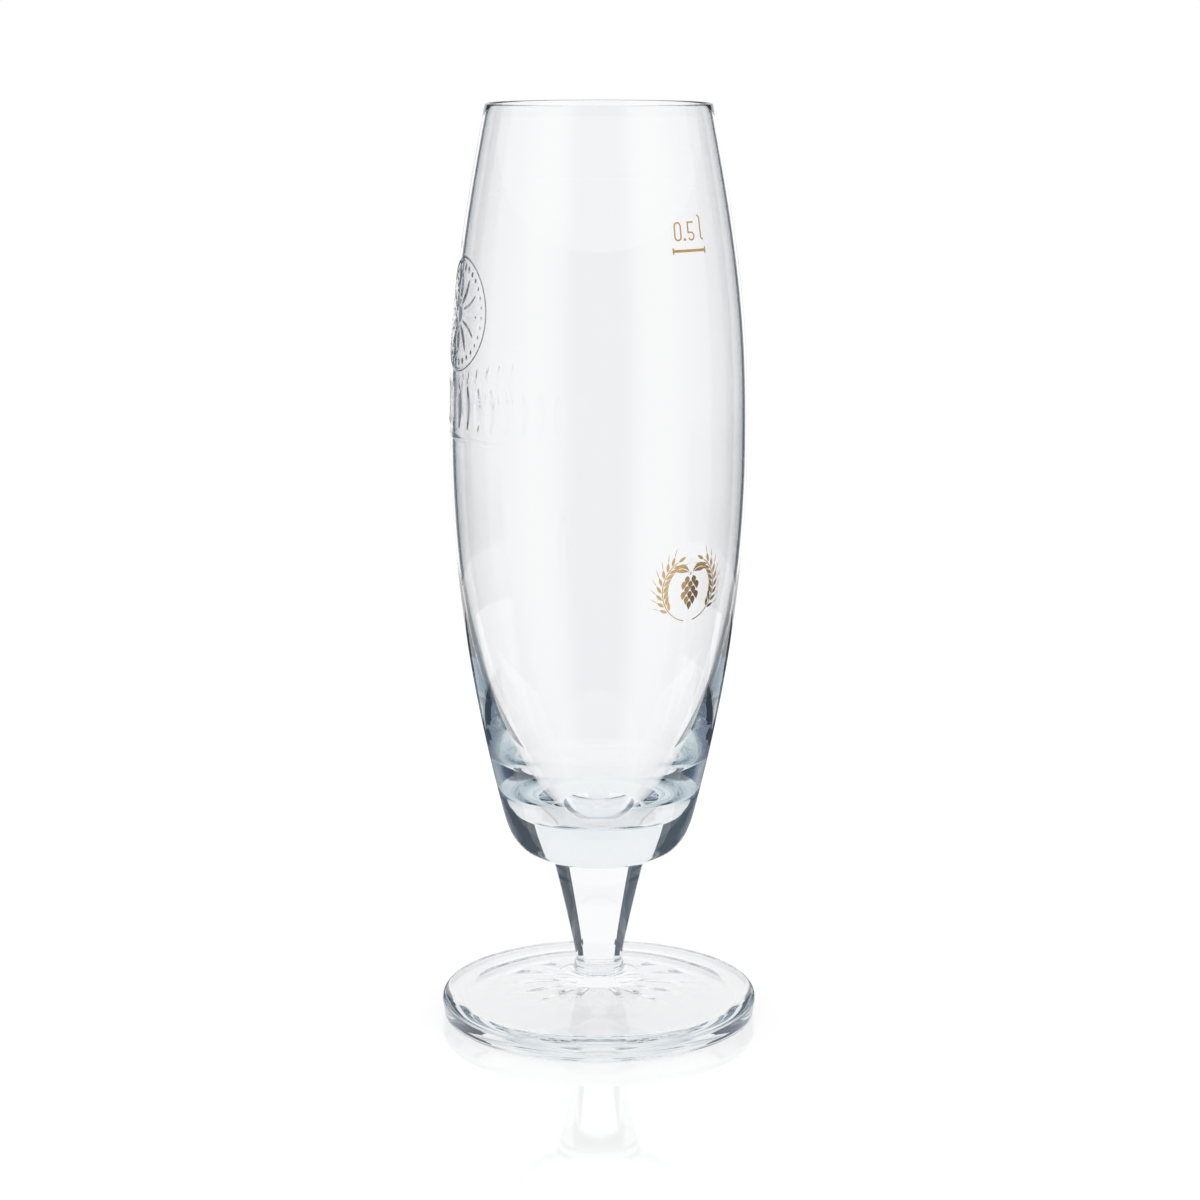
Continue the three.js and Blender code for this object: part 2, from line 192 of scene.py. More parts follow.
# %% Describe the hollow
WALL = 1.3 * MM
THICK_WALL_HEIGHT = BOWL_SEAT + 77.2 * MM
THICK_WALL_LEAN = 0.116
FLOOR_HEIGHT = BOWL_SEAT + 12.4 * MM
FLOOR_RADIUS = 13.2 * MM
FLOOR_ROUND = 2.2 * MM
FLOOR_LEAN = math.radians(52)
FLOOR_REACH = 17.0 * MM
CAVITY_HANDLE = 0.46

cavity_top = wall_radius(THICK_WALL_HEIGHT) - WALL
cavity_drop = CAVITY_HANDLE * (THICK_WALL_HEIGHT - FLOOR_HEIGHT)
floor_edge = point(FLOOR_RADIUS, FLOOR_HEIGHT)
floor_rise = point(math.cos(FLOOR_LEAN), math.sin(FLOOR_LEAN))
CAVITY_END = (
    point(cavity_top, THICK_WALL_HEIGHT),
    point(cavity_top - THICK_WALL_LEAN * cavity_drop, THICK_WALL_HEIGHT - cavity_drop),
    floor_edge + FLOOR_REACH * floor_rise,
    floor_edge + FLOOR_ROUND * floor_rise,
)
FLOOR_CORNER = (
    floor_edge + FLOOR_ROUND * floor_rise,
    floor_edge + FLOOR_ROUND / 3 * floor_rise,
    floor_edge - point(FLOOR_ROUND / 3, 0),
    floor_edge - point(FLOOR_ROUND, 0),
)


def wall_at(height):
    """The thickness of the upper wall, which thins towards the lip."""
    share = max(0.0, (height - THICK_WALL_HEIGHT) / (LIP_HEIGHT - THICK_WALL_HEIGHT))
    return WALL + (RIM_WALL - WALL) * share**2


print("solid base under the hollow in mm:", round((FLOOR_HEIGHT - BOWL_SEAT) / MM, 1))

# %% [markdown]
# ## Turning a profile
#
# All three glass pieces are round, so each is half an outline spun once about the upright axis. The
# spin's ends are merged, the points on the axis are welded, and the normals are pointed outwards once
# the mesh is closed. Glass needs many steps: light that passes four walls shows every facet.

# %% Write the turning helpers
ROUND_STEPS = 192
MERGE_DISTANCE = 0.002 * MM


def turn(profile):
    """Spins a profile once round the upright axis and closes it."""
    bm = bmesh.new()
    verts = [bm.verts.new((p.x, 0, p.y)) for p in profile]
    edges = [bm.edges.new(pair) for pair in zip(verts, verts[1:])]
    bmesh.ops.spin(
        bm,
        geom=verts + edges,
        cent=(0, 0, 0),
        axis=(0, 0, 1),
        angle=math.tau,
        steps=ROUND_STEPS,
        use_merge=True,
    )
    bmesh.ops.remove_doubles(bm, verts=bm.verts, dist=MERGE_DISTANCE)
    bmesh.ops.recalc_face_normals(bm, faces=bm.faces)
    return bm


def arc(centre, radius, start, end, steps):
    """Points of a rounded edge, from one angle to another round its centre."""
    turns = [start + (end - start) * i / steps for i in range(steps + 1)]
    return [centre + radius * point(math.cos(a), math.sin(a)) for a in turns]


def run(start, end, steps):
    """Points between the ends of a straight run, which keep the shading of a bend near the bend."""
    return [start.lerp(end, i / steps) for i in range(1, steps)]


def bent_line(start, bend, end, steps):
    """Points of an easy curve that leaves its start towards the bend and ends coming from it."""
    return interpolate_bezier(start, start.lerp(bend, 2 / 3), end.lerp(bend, 2 / 3), end, steps)


print("steps round each glass piece:", ROUND_STEPS)

# %% Write the finishing helpers
def make_object(bm, name, material):
    """Makes a bmesh an object at the origin, in one material."""
    mesh = bpy.data.meshes.new(name)
    bm.to_mesh(mesh)
    bm.free()
    mesh.materials.append(material)
    made = bpy.data.objects.new(name, mesh)
    bpy.context.scene.collection.objects.link(made)
    return made


def finish_piece(bm, name, material, node):
    """Makes a piece of the glass, and hides the node of the frame that it stands for."""
    piece = make_object(bm, name, material)
    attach(piece, "root")
    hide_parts(node)
    print(name, "has", len(piece.data.polygons), "faces")


print("helpers for pieces are ready")

# %% [markdown]
# ## Clear glass
#
# Soda-lime glass bends light with an index of about 1.5. A little iron in the sand takes red out of
# light that stays in it for long, so a thin wall looks clear, while light caught inside a thick wall
# comes out teal. Two things do that here. Absorption in the volume counts the way through the glass.
# A tint by the number of turns that a ray has made darkens light that is mirrored to and fro inside
# the thick wall: partly it stands for the longer way through the glass, and partly it is painted
# shade. The surface is never dead flat: blowing leaves long shallow waves, and washing leaves a
# breath of haze. One node group makes both from noise, and each glass uses it with its own scale.
# The shader itself stays in the material. Where a face is marked as fused, its index is that of what
# lies next to it, so it bends nothing.

# %% Write the node helpers
WHITE = (1, 1, 1, 1)


def feed(tree, source, socket):
    """Links a socket to another one, or sets it to a plain value."""
    if isinstance(source, bpy.types.NodeSocket):
        tree.links.new(source, socket)
    else:
        socket.default_value = source


def add_node(tree, kind, group=None, **inputs):
    """Adds a shader node and feeds its inputs by name, with spaces written as underscores."""
    node = tree.nodes.new("ShaderNode" + kind)
    if group:
        node.node_tree = group
    for name, source in inputs.items():
        feed(tree, source, node.inputs[name.replace("_", " ")])
    return node


def calculate(tree, operation, *terms, kind="Math", result="Value"):
    """Adds one step of arithmetic and gives the socket with its result."""
    node = add_node(tree, kind)
    node.operation = operation
    for source, socket in zip(terms, node.inputs):
        feed(tree, source, socket)
    return node.outputs[result]


def multiply(tree, first, second):
    """Multiplies two vectors or colours and gives the socket with the result."""
    return calculate(tree, "MULTIPLY", first, second, kind="VectorMath", result="Vector")


def map_range(tree, value, **ends):
    """Maps a value from one range to another and gives the socket with its result."""
    return add_node(tree, "MapRange", Value=value, **ends).outputs["Result"]


def colour_ramp(tree, share, first, last):
    """Runs from one colour to another and gives the socket with the colour."""
    ramp = add_node(tree, "ValToRGB", Fac=share)
    ramp.color_ramp.elements[0].color = first
    ramp.color_ramp.elements[1].color = last
    return ramp.outputs["Color"]


print("helpers for nodes are ready")

# %% Write the helpers for groups and materials
def new_group(name, taken, given):
    """A node group with these inputs and outputs, and its two end nodes."""
    tree = bpy.data.node_groups.new(name, "ShaderNodeTree")
    for way, sockets in (("INPUT", taken), ("OUTPUT", given)):
        for socket, kind in sockets.items():
            tree.interface.new_socket(socket, in_out=way, socket_type="NodeSocket" + kind)
    return tree, tree.nodes.new("NodeGroupInput"), tree.nodes.new("NodeGroupOutput")


def bare_material(name):
    """A node material with nothing in it but its output."""
    material = bpy.data.materials.new(name)
    material.use_nodes = True
    tree = material.node_tree
    tree.nodes.clear()
    return material, tree, tree.nodes.new("ShaderNodeOutputMaterial")


print("helpers for groups and materials are ready")

# %% Build the node group for the glass surface
HAZE_SCALE = 34.0
HAZE_START = 0.48
HAZE_FULL = 0.75
TROUGH_TINT = (0.996, 0.996, 1.0, 1)
CREST_TINT = (0.9995, 0.9995, 1.0, 1)


def make_glass_surface_group():
    """Waves, haze and tint that change over a glass surface."""
    tree, taken, given = new_group(
        "glass_surface",
        {"Wave Scale": "Float", "Haze": "Float", "Stretch": "Vector"},
        {"Tint": "Color", "Roughness": "Float", "Height": "Float"},
    )
    place = add_node(tree, "TexCoord").outputs["Object"]
    drawn = multiply(tree, place, taken.outputs["Stretch"])
    waves = add_node(tree, "TexNoise", Vector=drawn, Detail=1.0, Roughness=0.4)
    feed(tree, taken.outputs["Wave Scale"], waves.inputs["Scale"])
    haze = add_node(tree, "TexNoise", Vector=place, Scale=HAZE_SCALE, Detail=3.0).outputs["Fac"]
    haze = map_range(tree, haze, From_Min=HAZE_START, From_Max=HAZE_FULL, To_Max=taken.outputs["Haze"])
    height = waves.outputs["Fac"]
    feed(tree, colour_ramp(tree, height, TROUGH_TINT, CREST_TINT), given.inputs["Tint"])
    feed(tree, haze, given.inputs["Roughness"])
    feed(tree, height, given.inputs["Height"])
    return tree


glass_surface = make_glass_surface_group()
print("node group:", glass_surface.name, "with", len(glass_surface.nodes), "nodes")

# %% Make the two glasses
GLASS_INDEX = 1.5
DEPTH_COLOUR = (0.66, 0.76, 0.80, 1)
FREE_TURNS = 8
MANY_TURNS = 20
# Painted shade: the dark teal that the glass colour turns to after many turns inside the thick wall.
PAINTED_SHADE_COLOUR = (0.10, 0.17, 0.235, 1)
FUSED = "fused"


def make_glass(name, wave_scale, stretch, wave_depth, haze, density):
    """Clear glass whose waves and haze come from the shared group."""
    material, tree, output = bare_material(name)
    group = add_node(tree, "Group", glass_surface, Wave_Scale=wave_scale, Stretch=stretch, Haze=haze)
    surface = group.outputs
    mark = add_node(tree, "Attribute")
    mark.attribute_name = FUSED
    fused = mark.outputs["Fac"]
    # Painted shade: the base colour darkens towards a deep teal as the ray's turns in the glass add up.
    turns = add_node(tree, "LightPath").outputs["Ray Depth"]
    shade_share = map_range(tree, turns, From_Min=FREE_TURNS, From_Max=MANY_TURNS)
    painted_shade = colour_ramp(tree, shade_share, WHITE, PAINTED_SHADE_COLOUR)
    bump = add_node(tree, "Bump", Strength=1.0, Distance=wave_depth, Height=surface["Height"])
    shader = add_node(
        tree,
        "BsdfPrincipled",
        Base_Color=multiply(tree, surface["Tint"], painted_shade),
        Roughness=add_node(tree, "Mix", Factor=fused, A=surface["Roughness"]).outputs["Result"],
        IOR=map_range(tree, fused, To_Min=GLASS_INDEX, To_Max=1.0),
        Normal=bump.outputs["Normal"],
        Transmission_Weight=1.0,
    )
    body = add_node(tree, "VolumeAbsorption", Color=DEPTH_COLOUR, Density=density)
    feed(tree, shader.outputs["BSDF"], output.inputs["Surface"])
    feed(tree, body.outputs["Volume"], output.inputs["Volume"])
    return material


blown_glass = make_glass(
    "blown_glass",
    wave_scale=60.0,
    stretch=(1.0, 1.0, 0.35),
    wave_depth=0.01 * MM,
    haze=0.012,
    density=10.0,
)
pressed_glass = make_glass(
    "pressed_glass",
    wave_scale=90.0,
    stretch=(1.0, 1.0, 1.0),
    wave_depth=0.015 * MM,
    haze=0.015,
    density=5.0,
)
print("glass materials:", blown_glass.name, pressed_glass.name)

# %% [markdown]
# ## Fused joints
#
# Bowl, stem and foot are pressed together while hot, and on the real glass no line is left inside.
# The pieces stay separate here, so each meets its neighbour on a flat disc. A disc that bent light
# would show as a mirror in the middle of the stem. So the discs are marked as fused, and their rims
# are sharp, which keeps the smooth shading of the sides from bending round the corner.

# %% Mark the joints of a turned piece
FACING_UP = 0.999


def mark_joints(bm, heights):
    """Marks the flat faces at these heights as fused, with a sharp rim."""
    fused = bm.faces.layers.float.new(FUSED)
    for face in bm.faces:
        height = face.verts[0].co.z
        at_joint = any(abs(height - joint) < MERGE_DISTANCE for joint in heights)
        face[fused] = float(at_joint and abs(face.normal.z) > FACING_UP)
        face.smooth = not face[fused]
    for edge in bm.edges:
        edge.smooth = len({face[fused] for face in edge.link_faces}) == 1


print("joints are marked in:", FUSED)

# %% [markdown]
# ## Foot
#
# The foot is a pressed plate: a flat ring to stand on, a shallow hollow underneath, an upright side
# with a soft top edge, and a low cone that rises to a boss where the stem was set. A small bead runs
# round the seam. Shallow petals are pressed into the underside. They are hardly a shape to the
# finger, but they break up what is seen through the plate into light and dark rays.

# %% Turn the foot
FOOT_EDGE_HEIGHT = 6.9 * MM
FOOT_EDGE_ROUND = 2.6 * MM
FOOT_HEEL_ROUND = 0.9 * MM
FOOT_SIDE_DRAFT = 0.5 * MM
FOOT_STAND_WIDTH = 4.5 * MM
FOOT_HOLLOW_DEPTH = 3.4 * MM
FOOT_BOSS_FLARE = 5.5 * MM
FOOT_BOSS_RISE = 3.0 * MM
STEM_FOOT_RADIUS = 6.0 * MM
SEAM_BEAD = 0.55 * MM
JOINT_GAP = 0.02 * MM
FOOT_TOP = STEM_SEAT - JOINT_GAP
PLATE_STEPS = 16
EDGE_STEPS = 8
FOOT_PETALS = 16
FOOT_PETAL_REACH = 30.0 * MM
FOOT_PETAL_DEPTH = 0.07 * MM


def foot_profile():
    """Half the outline of the foot, from the middle of its hollow round the edge to the joint."""
    stand_outer = FOOT_RADIUS - FOOT_SIDE_DRAFT - FOOT_HEEL_ROUND
    stand_inner = stand_outer - FOOT_STAND_WIDTH
    hollow = interpolate_bezier(
        point(0, FOOT_HOLLOW_DEPTH),
        point(stand_inner / 3, FOOT_HOLLOW_DEPTH),
        point(stand_inner * 2 / 3, FOOT_HOLLOW_DEPTH * 2 / 3),
        point(stand_inner, 0),
        PLATE_STEPS,
    )
    heel = arc(point(stand_outer, FOOT_HEEL_ROUND), FOOT_HEEL_ROUND, -math.pi / 2, 0, EDGE_STEPS)
    edge_centre = point(FOOT_RADIUS - FOOT_EDGE_ROUND, FOOT_EDGE_HEIGHT - FOOT_EDGE_ROUND)
    edge = arc(edge_centre, FOOT_EDGE_ROUND, 0, math.pi / 2, EDGE_STEPS)
    bead_low = FOOT_TOP - 2 * SEAM_BEAD
    boss = interpolate_bezier(
        point(STEM_FOOT_RADIUS + FOOT_BOSS_FLARE, bead_low - FOOT_BOSS_RISE),
        point(STEM_FOOT_RADIUS + FOOT_BOSS_FLARE / 2, bead_low - FOOT_BOSS_RISE / 2),
        point(STEM_FOOT_RADIUS, bead_low - FOOT_BOSS_RISE / 2),
        point(STEM_FOOT_RADIUS, bead_low),
        PLATE_STEPS,
    )
    bead_centre = point(STEM_FOOT_RADIUS, FOOT_TOP - SEAM_BEAD)
    bead = arc(bead_centre, SEAM_BEAD, -math.pi / 2, math.pi / 2, EDGE_STEPS)
    stand = run(hollow[-1], heel[0], EDGE_STEPS)
    side = run(heel[-1], edge[0], EDGE_STEPS)
    plate = run(edge[-1], boss[0], 2 * PLATE_STEPS)
    return [*hollow, *stand, *heel, *side, *edge, *plate, *boss, *bead[1:], point(0, FOOT_TOP)]


def press_petals(bm):
    """Presses shallow petals into the underside, deepest between the middle and the stand ring."""
    for vert in bm.verts:
        reach = math.hypot(vert.co.x, vert.co.y) / FOOT_PETAL_REACH
        if vert.co.z <= FOOT_HOLLOW_DEPTH and reach < 1:
            azimuth = math.atan2(vert.co.x, -vert.co.y)
            swell = math.sin(math.pi * reach) ** 2
            vert.co.z += FOOT_PETAL_DEPTH * swell * math.cos(FOOT_PETALS * azimuth)


foot_mesh = turn(foot_profile())
press_petals(foot_mesh)
mark_joints(foot_mesh, [FOOT_TOP])
finish_piece(foot_mesh, "glass_foot", pressed_glass, "foot")

# %% [markdown]
# ## Stem
#
# The stem is a short solid peg that widens upwards in one easy curve until it meets the base of the
# bowl. Being solid, it acts as an upright rod lens: the middle shows what is behind the glass, and
# the sides show what stands far out to the left and right.

# %% Turn the stem
STEM_NECK_RISE = 3.6 * MM
STEM_STEPS = 24
STEM_TOP = BOWL_SEAT - JOINT_GAP


def stem_profile():
    """Half the outline of the stem, from the joint at the foot to the joint at the bowl."""
    foot_end = point(STEM_FOOT_RADIUS, STEM_SEAT)
    bend = point(STEM_FOOT_RADIUS, STEM_SEAT + STEM_NECK_RISE)
    head = point(STEM_TOP_RADIUS, STEM_TOP)
    return [point(0, STEM_SEAT), *bent_line(foot_end, bend, head, STEM_STEPS), point(0, STEM_TOP)]


stem_mesh = turn(stem_profile())
mark_joints(stem_mesh, [STEM_SEAT, STEM_TOP])
finish_piece(stem_mesh, "glass_stem", pressed_glass, "stem")

# %% [markdown]
# ## Bowl
#
# One profile goes out from the joint, round the base, up the outside, over the lip and down the
# hollow to its floor. The lip is a half circle, as the flame leaves it.

# %% Turn the bowl
WALL_STEPS = 40
CORNER_STEPS = 16


def bowl_profile():
    """Half the outline of the bowl, from the joint up the outside and down the hollow to its floor."""
    corner = interpolate_bezier(*FLOOR_CORNER, EDGE_STEPS)
    middle = point(0, FLOOR_HEIGHT)
    lip = arc(point(RIM_RADIUS - RIM_WALL / 2, LIP_HEIGHT), RIM_WALL / 2, 0, math.pi, EDGE_STEPS)
    drop = THICK_WALL_HEIGHT - LIP_HEIGHT
    heights = [LIP_HEIGHT + drop * (i + 1) / WALL_STEPS for i in range(WALL_STEPS)]
    inner_wall = [point(wall_radius(h) - wall_at(h), h) for h in heights]
    return [
        point(0, BOWL_SEAT),
        *interpolate_bezier(*BASE_CORNER, CORNER_STEPS),
        *interpolate_bezier(*LOWER_WALL, WALL_STEPS)[1:],
        *interpolate_bezier(*UPPER_WALL, WALL_STEPS)[1:],
        *lip[1:],
        *inner_wall,
        *interpolate_bezier(*CAVITY_END, WALL_STEPS)[1:],
        *corner[1:],
        *run(corner[-1], middle, EDGE_STEPS),
        middle,
    ]


bowl_mesh = turn(bowl_profile())
mark_joints(bowl_mesh, [BOWL_SEAT])
print("faces of the plain bowl:", len(bowl_mesh.faces))

# %% [markdown]
# ## Relief from the mould
#
# The mould leaves low ornament on the left of the bowl: a round rosette, and below it a band of
# upright olives over a thin ridge. A bump in the material would vanish at the edge of the bowl, where
# relief is seen from the side. So it is real shape here. Each motif is a height worked out from a
# place on the wall, built from one soft hump.

# %% Describe the humps
RELIEF_HEIGHT = 0.15 * MM


def hump(distance, reach):
    """A soft round swelling: 1 in the middle, and 0 at its reach and beyond."""
    share = min(1.0, abs(distance) / reach)
    return (1 - share**2) ** 2


def olive(across, along, half_width, half_length):
    """A swelling with two pointed ends, as a cutting wheel leaves it."""
    share = abs(along) / half_length
    if share >= 1:
        return 0.0
    return hump(across, half_width * (1 - share**2))


def from_nearest(place, pitch):
    """How far a place is from the middle of the nearest of many equal steps."""
    return (place / pitch + 0.5) % 1 * pitch - pitch / 2


print("height of the relief in mm:", round(RELIEF_HEIGHT / MM, 2))

# %% Describe the rosette
ROSETTE_AZIMUTH = math.radians(-71)
ROSETTE_CENTRE = BOWL_SEAT + 144.2 * MM
ROSETTE_RADIUS = 14.4 * MM
RING_HALF_WIDTH = 0.5 * MM
PEARLS = 30
PEARL_CIRCLE = 11.9 * MM
PEARL_RADIUS = 0.95 * MM
PETALS = 12
PETAL_CIRCLE = 6.6 * MM
PETAL_HALF_LENGTH = 3.6 * MM
PETAL_HALF_WIDTH = 1.35 * MM
BOSS_RADIUS = 2.2 * MM


def rosette(across, up):
    """The height of ring, pearls, petals and boss, by the place from the rosette's centre."""
    radius = math.hypot(across, up)
    bearing = math.atan2(up, across)
    ring = hump(radius - ROSETTE_RADIUS + RING_HALF_WIDTH, RING_HALF_WIDTH)
    to_pearl = radius * from_nearest(bearing, math.tau / PEARLS)
    pearl = hump(math.hypot(to_pearl, radius - PEARL_CIRCLE), PEARL_RADIUS)
    to_petal = radius * from_nearest(bearing, math.tau / PETALS)
    petal = olive(to_petal, radius - PETAL_CIRCLE, PETAL_HALF_WIDTH, PETAL_HALF_LENGTH)
    return RELIEF_HEIGHT * max(ring, pearl, petal, hump(radius, BOSS_RADIUS))


print("rosette across in mm:", round(2 * ROSETTE_RADIUS / MM, 1))

# %% Describe the band of olives
BAND_AZIMUTH = math.radians(-71)
BAND_CENTRE = BOWL_SEAT + 121.4 * MM
OLIVES = 20
OLIVE_PITCH = 5.0 * MM
OLIVE_HALF_LENGTH = 5.6 * MM
OLIVE_HALF_WIDTH = 2.1 * MM
RIDGE_DROP = 8.4 * MM
RIDGE_HALF_WIDTH = 0.7 * MM
BAND_HALF_LENGTH = OLIVES * OLIVE_PITCH / 2


def olive_band(across, up):
    """The height of the olives and the ridge under them, by the place from the band's middle."""
    if abs(across) >= BAND_HALF_LENGTH:
        return 0.0
    to_olive = from_nearest(across - OLIVE_PITCH / 2, OLIVE_PITCH)
    ridge = hump(up + RIDGE_DROP, RIDGE_HALF_WIDTH) * hump(across, BAND_HALF_LENGTH)
    return RELIEF_HEIGHT * max(olive(to_olive, up, OLIVE_HALF_WIDTH, OLIVE_HALF_LENGTH), ridge)


print("band of olives in mm:", round(2 * BAND_HALF_LENGTH / MM, 1))

# %% [markdown]
# The faces of the turned bowl are far too large for such fine ornament, and cutting the whole bowl
# finer would waste most of the cuts. So only the faces under a motif are subdivided. Their points are
# then set out to the true wall plus the height of the motif.

# %% Cut the faces under the relief finer
RELIEF_MARGIN = 1.5 * MM
ROSETTE_CUTS = 7
BAND_CUTS = 5
ROSETTE_BOX = (ROSETTE_RADIUS, -ROSETTE_RADIUS, ROSETTE_RADIUS)
BAND_BOX = (BAND_HALF_LENGTH, -RIDGE_DROP - RIDGE_HALF_WIDTH, OLIVE_HALF_LENGTH)
HEIGHT_DIGITS = 6
RELIEFS = (
    (rosette, ROSETTE_AZIMUTH, ROSETTE_CENTRE, *ROSETTE_BOX, ROSETTE_CUTS),
    (olive_band, BAND_AZIMUTH, BAND_CENTRE, *BAND_BOX, BAND_CUTS),
)


def place_on_wall(position, azimuth, centre):
    """A point of the bowl as a place across and up from a motif's centre."""
    turned = math.atan2(position.x, -position.y) - azimuth
    return turned * wall_radius(centre), position.z - centre


def outer_radius(position):
    """The radius of the plain outer wall at the height of a point."""
    return wall_radius(round(position.z, HEIGHT_DIGITS))


def on_outer_wall(position):
    """Whether a point lies on the outside of the bowl, not on its hollow."""
    return abs(position.xy.length - outer_radius(position)) < WALL / 4


def refine_under(bm, azimuth, centre, half_across, low, high, cuts):
    """Subdivides the outer faces under one motif."""
    edges = {}
    for face in bm.faces:
        middle = face.calc_center_median()
        across, up = place_on_wall(middle, azimuth, centre)
        beside = abs(across) < half_across + RELIEF_MARGIN
        level = low - RELIEF_MARGIN < up < high + RELIEF_MARGIN
        if beside and level and on_outer_wall(middle):
            edges.update(dict.fromkeys(face.edges))
    bmesh.ops.subdivide_edges(bm, edges=list(edges), cuts=cuts, use_grid_fill=True)


for _, *box_and_cuts in RELIEFS:
    refine_under(bowl_mesh, *box_and_cuts)
print("faces of the refined bowl:", len(bowl_mesh.faces))

# %% Raise the relief
def raise_relief(bm):
    """Sets every outer point near a motif out to the true wall plus the motif's height."""
    low = BAND_CENTRE - RIDGE_DROP - 2 * RELIEF_MARGIN
    high = ROSETTE_CENTRE + ROSETTE_RADIUS + 2 * RELIEF_MARGIN
    for vert in bm.verts:
        if low < vert.co.z < high and on_outer_wall(vert.co):
            radius = outer_radius(vert.co)
            for motif, azimuth, centre, *_ in RELIEFS:
                radius += motif(*place_on_wall(vert.co, azimuth, centre))
            vert.co.xy = vert.co.xy.normalized() * radius


raise_relief(bowl_mesh)
for face in bowl_mesh.faces:
    face.smooth = True
finish_piece(bowl_mesh, "glass_bowl", blown_glass, "bowl")

# %% [markdown]
# ## Gold film
#
# The fill mark and the emblem are gold, printed through a screen and fired on, so each is a thin
# island of film on the glass. Every island is drawn flat, in millimetres, by pulling one edge from
# row to row, as a brush pulls paint. One extrusion gives it thickness, and then the drawing is bent
# onto the bowl.

# %% Draw a strip of film
FILM_THICKNESS = 0.06
FILM_LIFT = 0.03
SHARP_EDGE = math.radians(50)
TIGHTEST_MITRE = 0.5


def pull_rows(bm, rows):
    """Pulls one edge along the rows of a strip, each row a left and a right point of the drawing."""
    left, right = rows[0]
    edge = bm.edges.new([bm.verts.new((left.x, 0, left.y)), bm.verts.new((right.x, 0, right.y))])
    for left, right in rows[1:]:
        old_left = edge.verts[0]
        pulled = bmesh.ops.extrude_edge_only(bm, edges=[edge])["geom"]
        new_verts = [item for item in pulled if isinstance(item, bmesh.types.BMVert)]
        new_left, new_right = sorted(new_verts, key=lambda vert: (vert.co - old_left.co).length)
        new_left.co = (left.x, 0, left.y)
        new_right.co = (right.x, 0, right.y)
        edge = bm.edges.get((new_left, new_right))


def stroke(path, half_width):
    """Rows of an even stroke along a path, mitred at its corners."""
    steps = [(after - before).normalized() for before, after in zip(path, path[1:])]
    rows = []
    for place, before, after in zip(path, steps[:1] + steps, steps + steps[-1:]):
        along = (before + after).normalized()
        side = point(-along.y, along.x) * half_width / max(TIGHTEST_MITRE, along.dot(before))
        rows.append((place + side, place - side))
    return rows


def blade(foot, tip, half_width, fullest=0.45, steps=8):
    """Rows of a pointed blade from its foot to its tip, widest at a share of its length."""
    along = (tip - foot).normalized()
    side = point(-along.y, along.x)
    skew = math.log(0.5) / math.log(fullest)
    rows = []
    for i in range(steps + 1):
        width = max(half_width * math.sin(math.pi * (i / steps) ** skew), half_width / steps)
        middle = foot.lerp(tip, i / steps)
        rows.append((middle + width * side, middle - width * side))
    return rows


print("film thickness in mm:", FILM_THICKNESS)

# %% Lay the drawing on the bowl
def lay_film(strips, azimuth, height, name, material, node):
    """Draws strips, thickens them, bends them onto the bowl round a place and finishes the piece."""
    bm = bmesh.new()
    for rows in strips:
        pull_rows(bm, rows)
    bmesh.ops.remove_doubles(bm, verts=bm.verts, dist=MERGE_DISTANCE / MM)
    raised = bmesh.ops.extrude_face_region(bm, geom=bm.faces[:])["geom"]
    top = [item for item in raised if isinstance(item, bmesh.types.BMVert)]
    bmesh.ops.translate(bm, verts=top, vec=(0, -FILM_THICKNESS, 0))
    bmesh.ops.recalc_face_normals(bm, faces=bm.faces)
    for vert in bm.verts:
        across, depth, up = vert.co * MM
        radius = wall_radius(height + up) + FILM_LIFT * MM - depth
        turned = azimuth + across / wall_radius(height)
        vert.co = (radius * math.sin(turned), -radius * math.cos(turned), height + up)
    for edge in bm.edges:
        edge.smooth = edge.calc_face_angle(math.pi) < SHARP_EDGE
    for face in bm.faces:
        face.smooth = True
    finish_piece(bm, name, material, node)


print("film stands off the wall by mm:", FILM_LIFT)

# %% [markdown]
# ## Two golds
#
# The fill mark is printed in a matt gold colour that looks much the same from every side. The emblem
# is burnished gold, a true metal: it is bright where it mirrors a bright panel and deep brown where
# it mirrors a dark one. Both are worn alike by washing, so the wear is one node group.

# %% Build the node group for worn film
PATCH_SCALE = 420.0
GRAIN_SCALE = 5200.0
THIN_START = 0.35
THIN_FULL = 0.72
WORN_ROUGHNESS = 0.16


def make_film_wear_group():
    """A mask of thin places, a roughness and a fine grain for fired film."""
    tree, taken, given = new_group(
        "film_wear",
        {"Polish": "Float"},
        {"Thin": "Float", "Roughness": "Float", "Grain": "Float"},
    )
    place = add_node(tree, "TexCoord").outputs["Object"]
    noise = add_node(tree, "TexNoise", Vector=place, Scale=PATCH_SCALE, Detail=4.0, Roughness=0.6)
    patches = noise.outputs["Fac"]
    grain = add_node(tree, "TexNoise", Vector=place, Scale=GRAIN_SCALE, Detail=2.0).outputs["Fac"]
    thin = map_range(tree, patches, From_Min=THIN_START, From_Max=THIN_FULL)
    matt = calculate(tree, "MULTIPLY_ADD", patches, WORN_ROUGHNESS, taken.outputs["Polish"])
    feed(tree, thin, given.inputs["Thin"])
    feed(tree, matt, given.inputs["Roughness"])
    feed(tree, grain, given.inputs["Grain"])
    return tree


film_wear = make_film_wear_group()
print("node group:", film_wear.name, "with", len(film_wear.nodes), "nodes")

# %% Make the two golds
GRAIN_DEPTH = 0.004 * MM
GRAIN_STRENGTH = 0.6


def make_gold(name, full_colour, thin_colour, metallic, polish):
    """Fired gold whose colour, roughness and grain follow the wear."""
    material, tree, output = bare_material(name)
    wear = add_node(tree, "Group", film_wear, Polish=polish).outputs
    bump = add_node(tree, "Bump", Strength=GRAIN_STRENGTH, Distance=GRAIN_DEPTH, Height=wear["Grain"])
    shader = add_node(
        tree,
        "BsdfPrincipled",
        Base_Color=colour_ramp(tree, wear["Thin"], (*full_colour, 1), (*thin_colour, 1)),
        Metallic=metallic,
        Roughness=wear["Roughness"],
        Normal=bump.outputs["Normal"],
    )
    feed(tree, shader.outputs["BSDF"], output.inputs["Surface"])
    return material


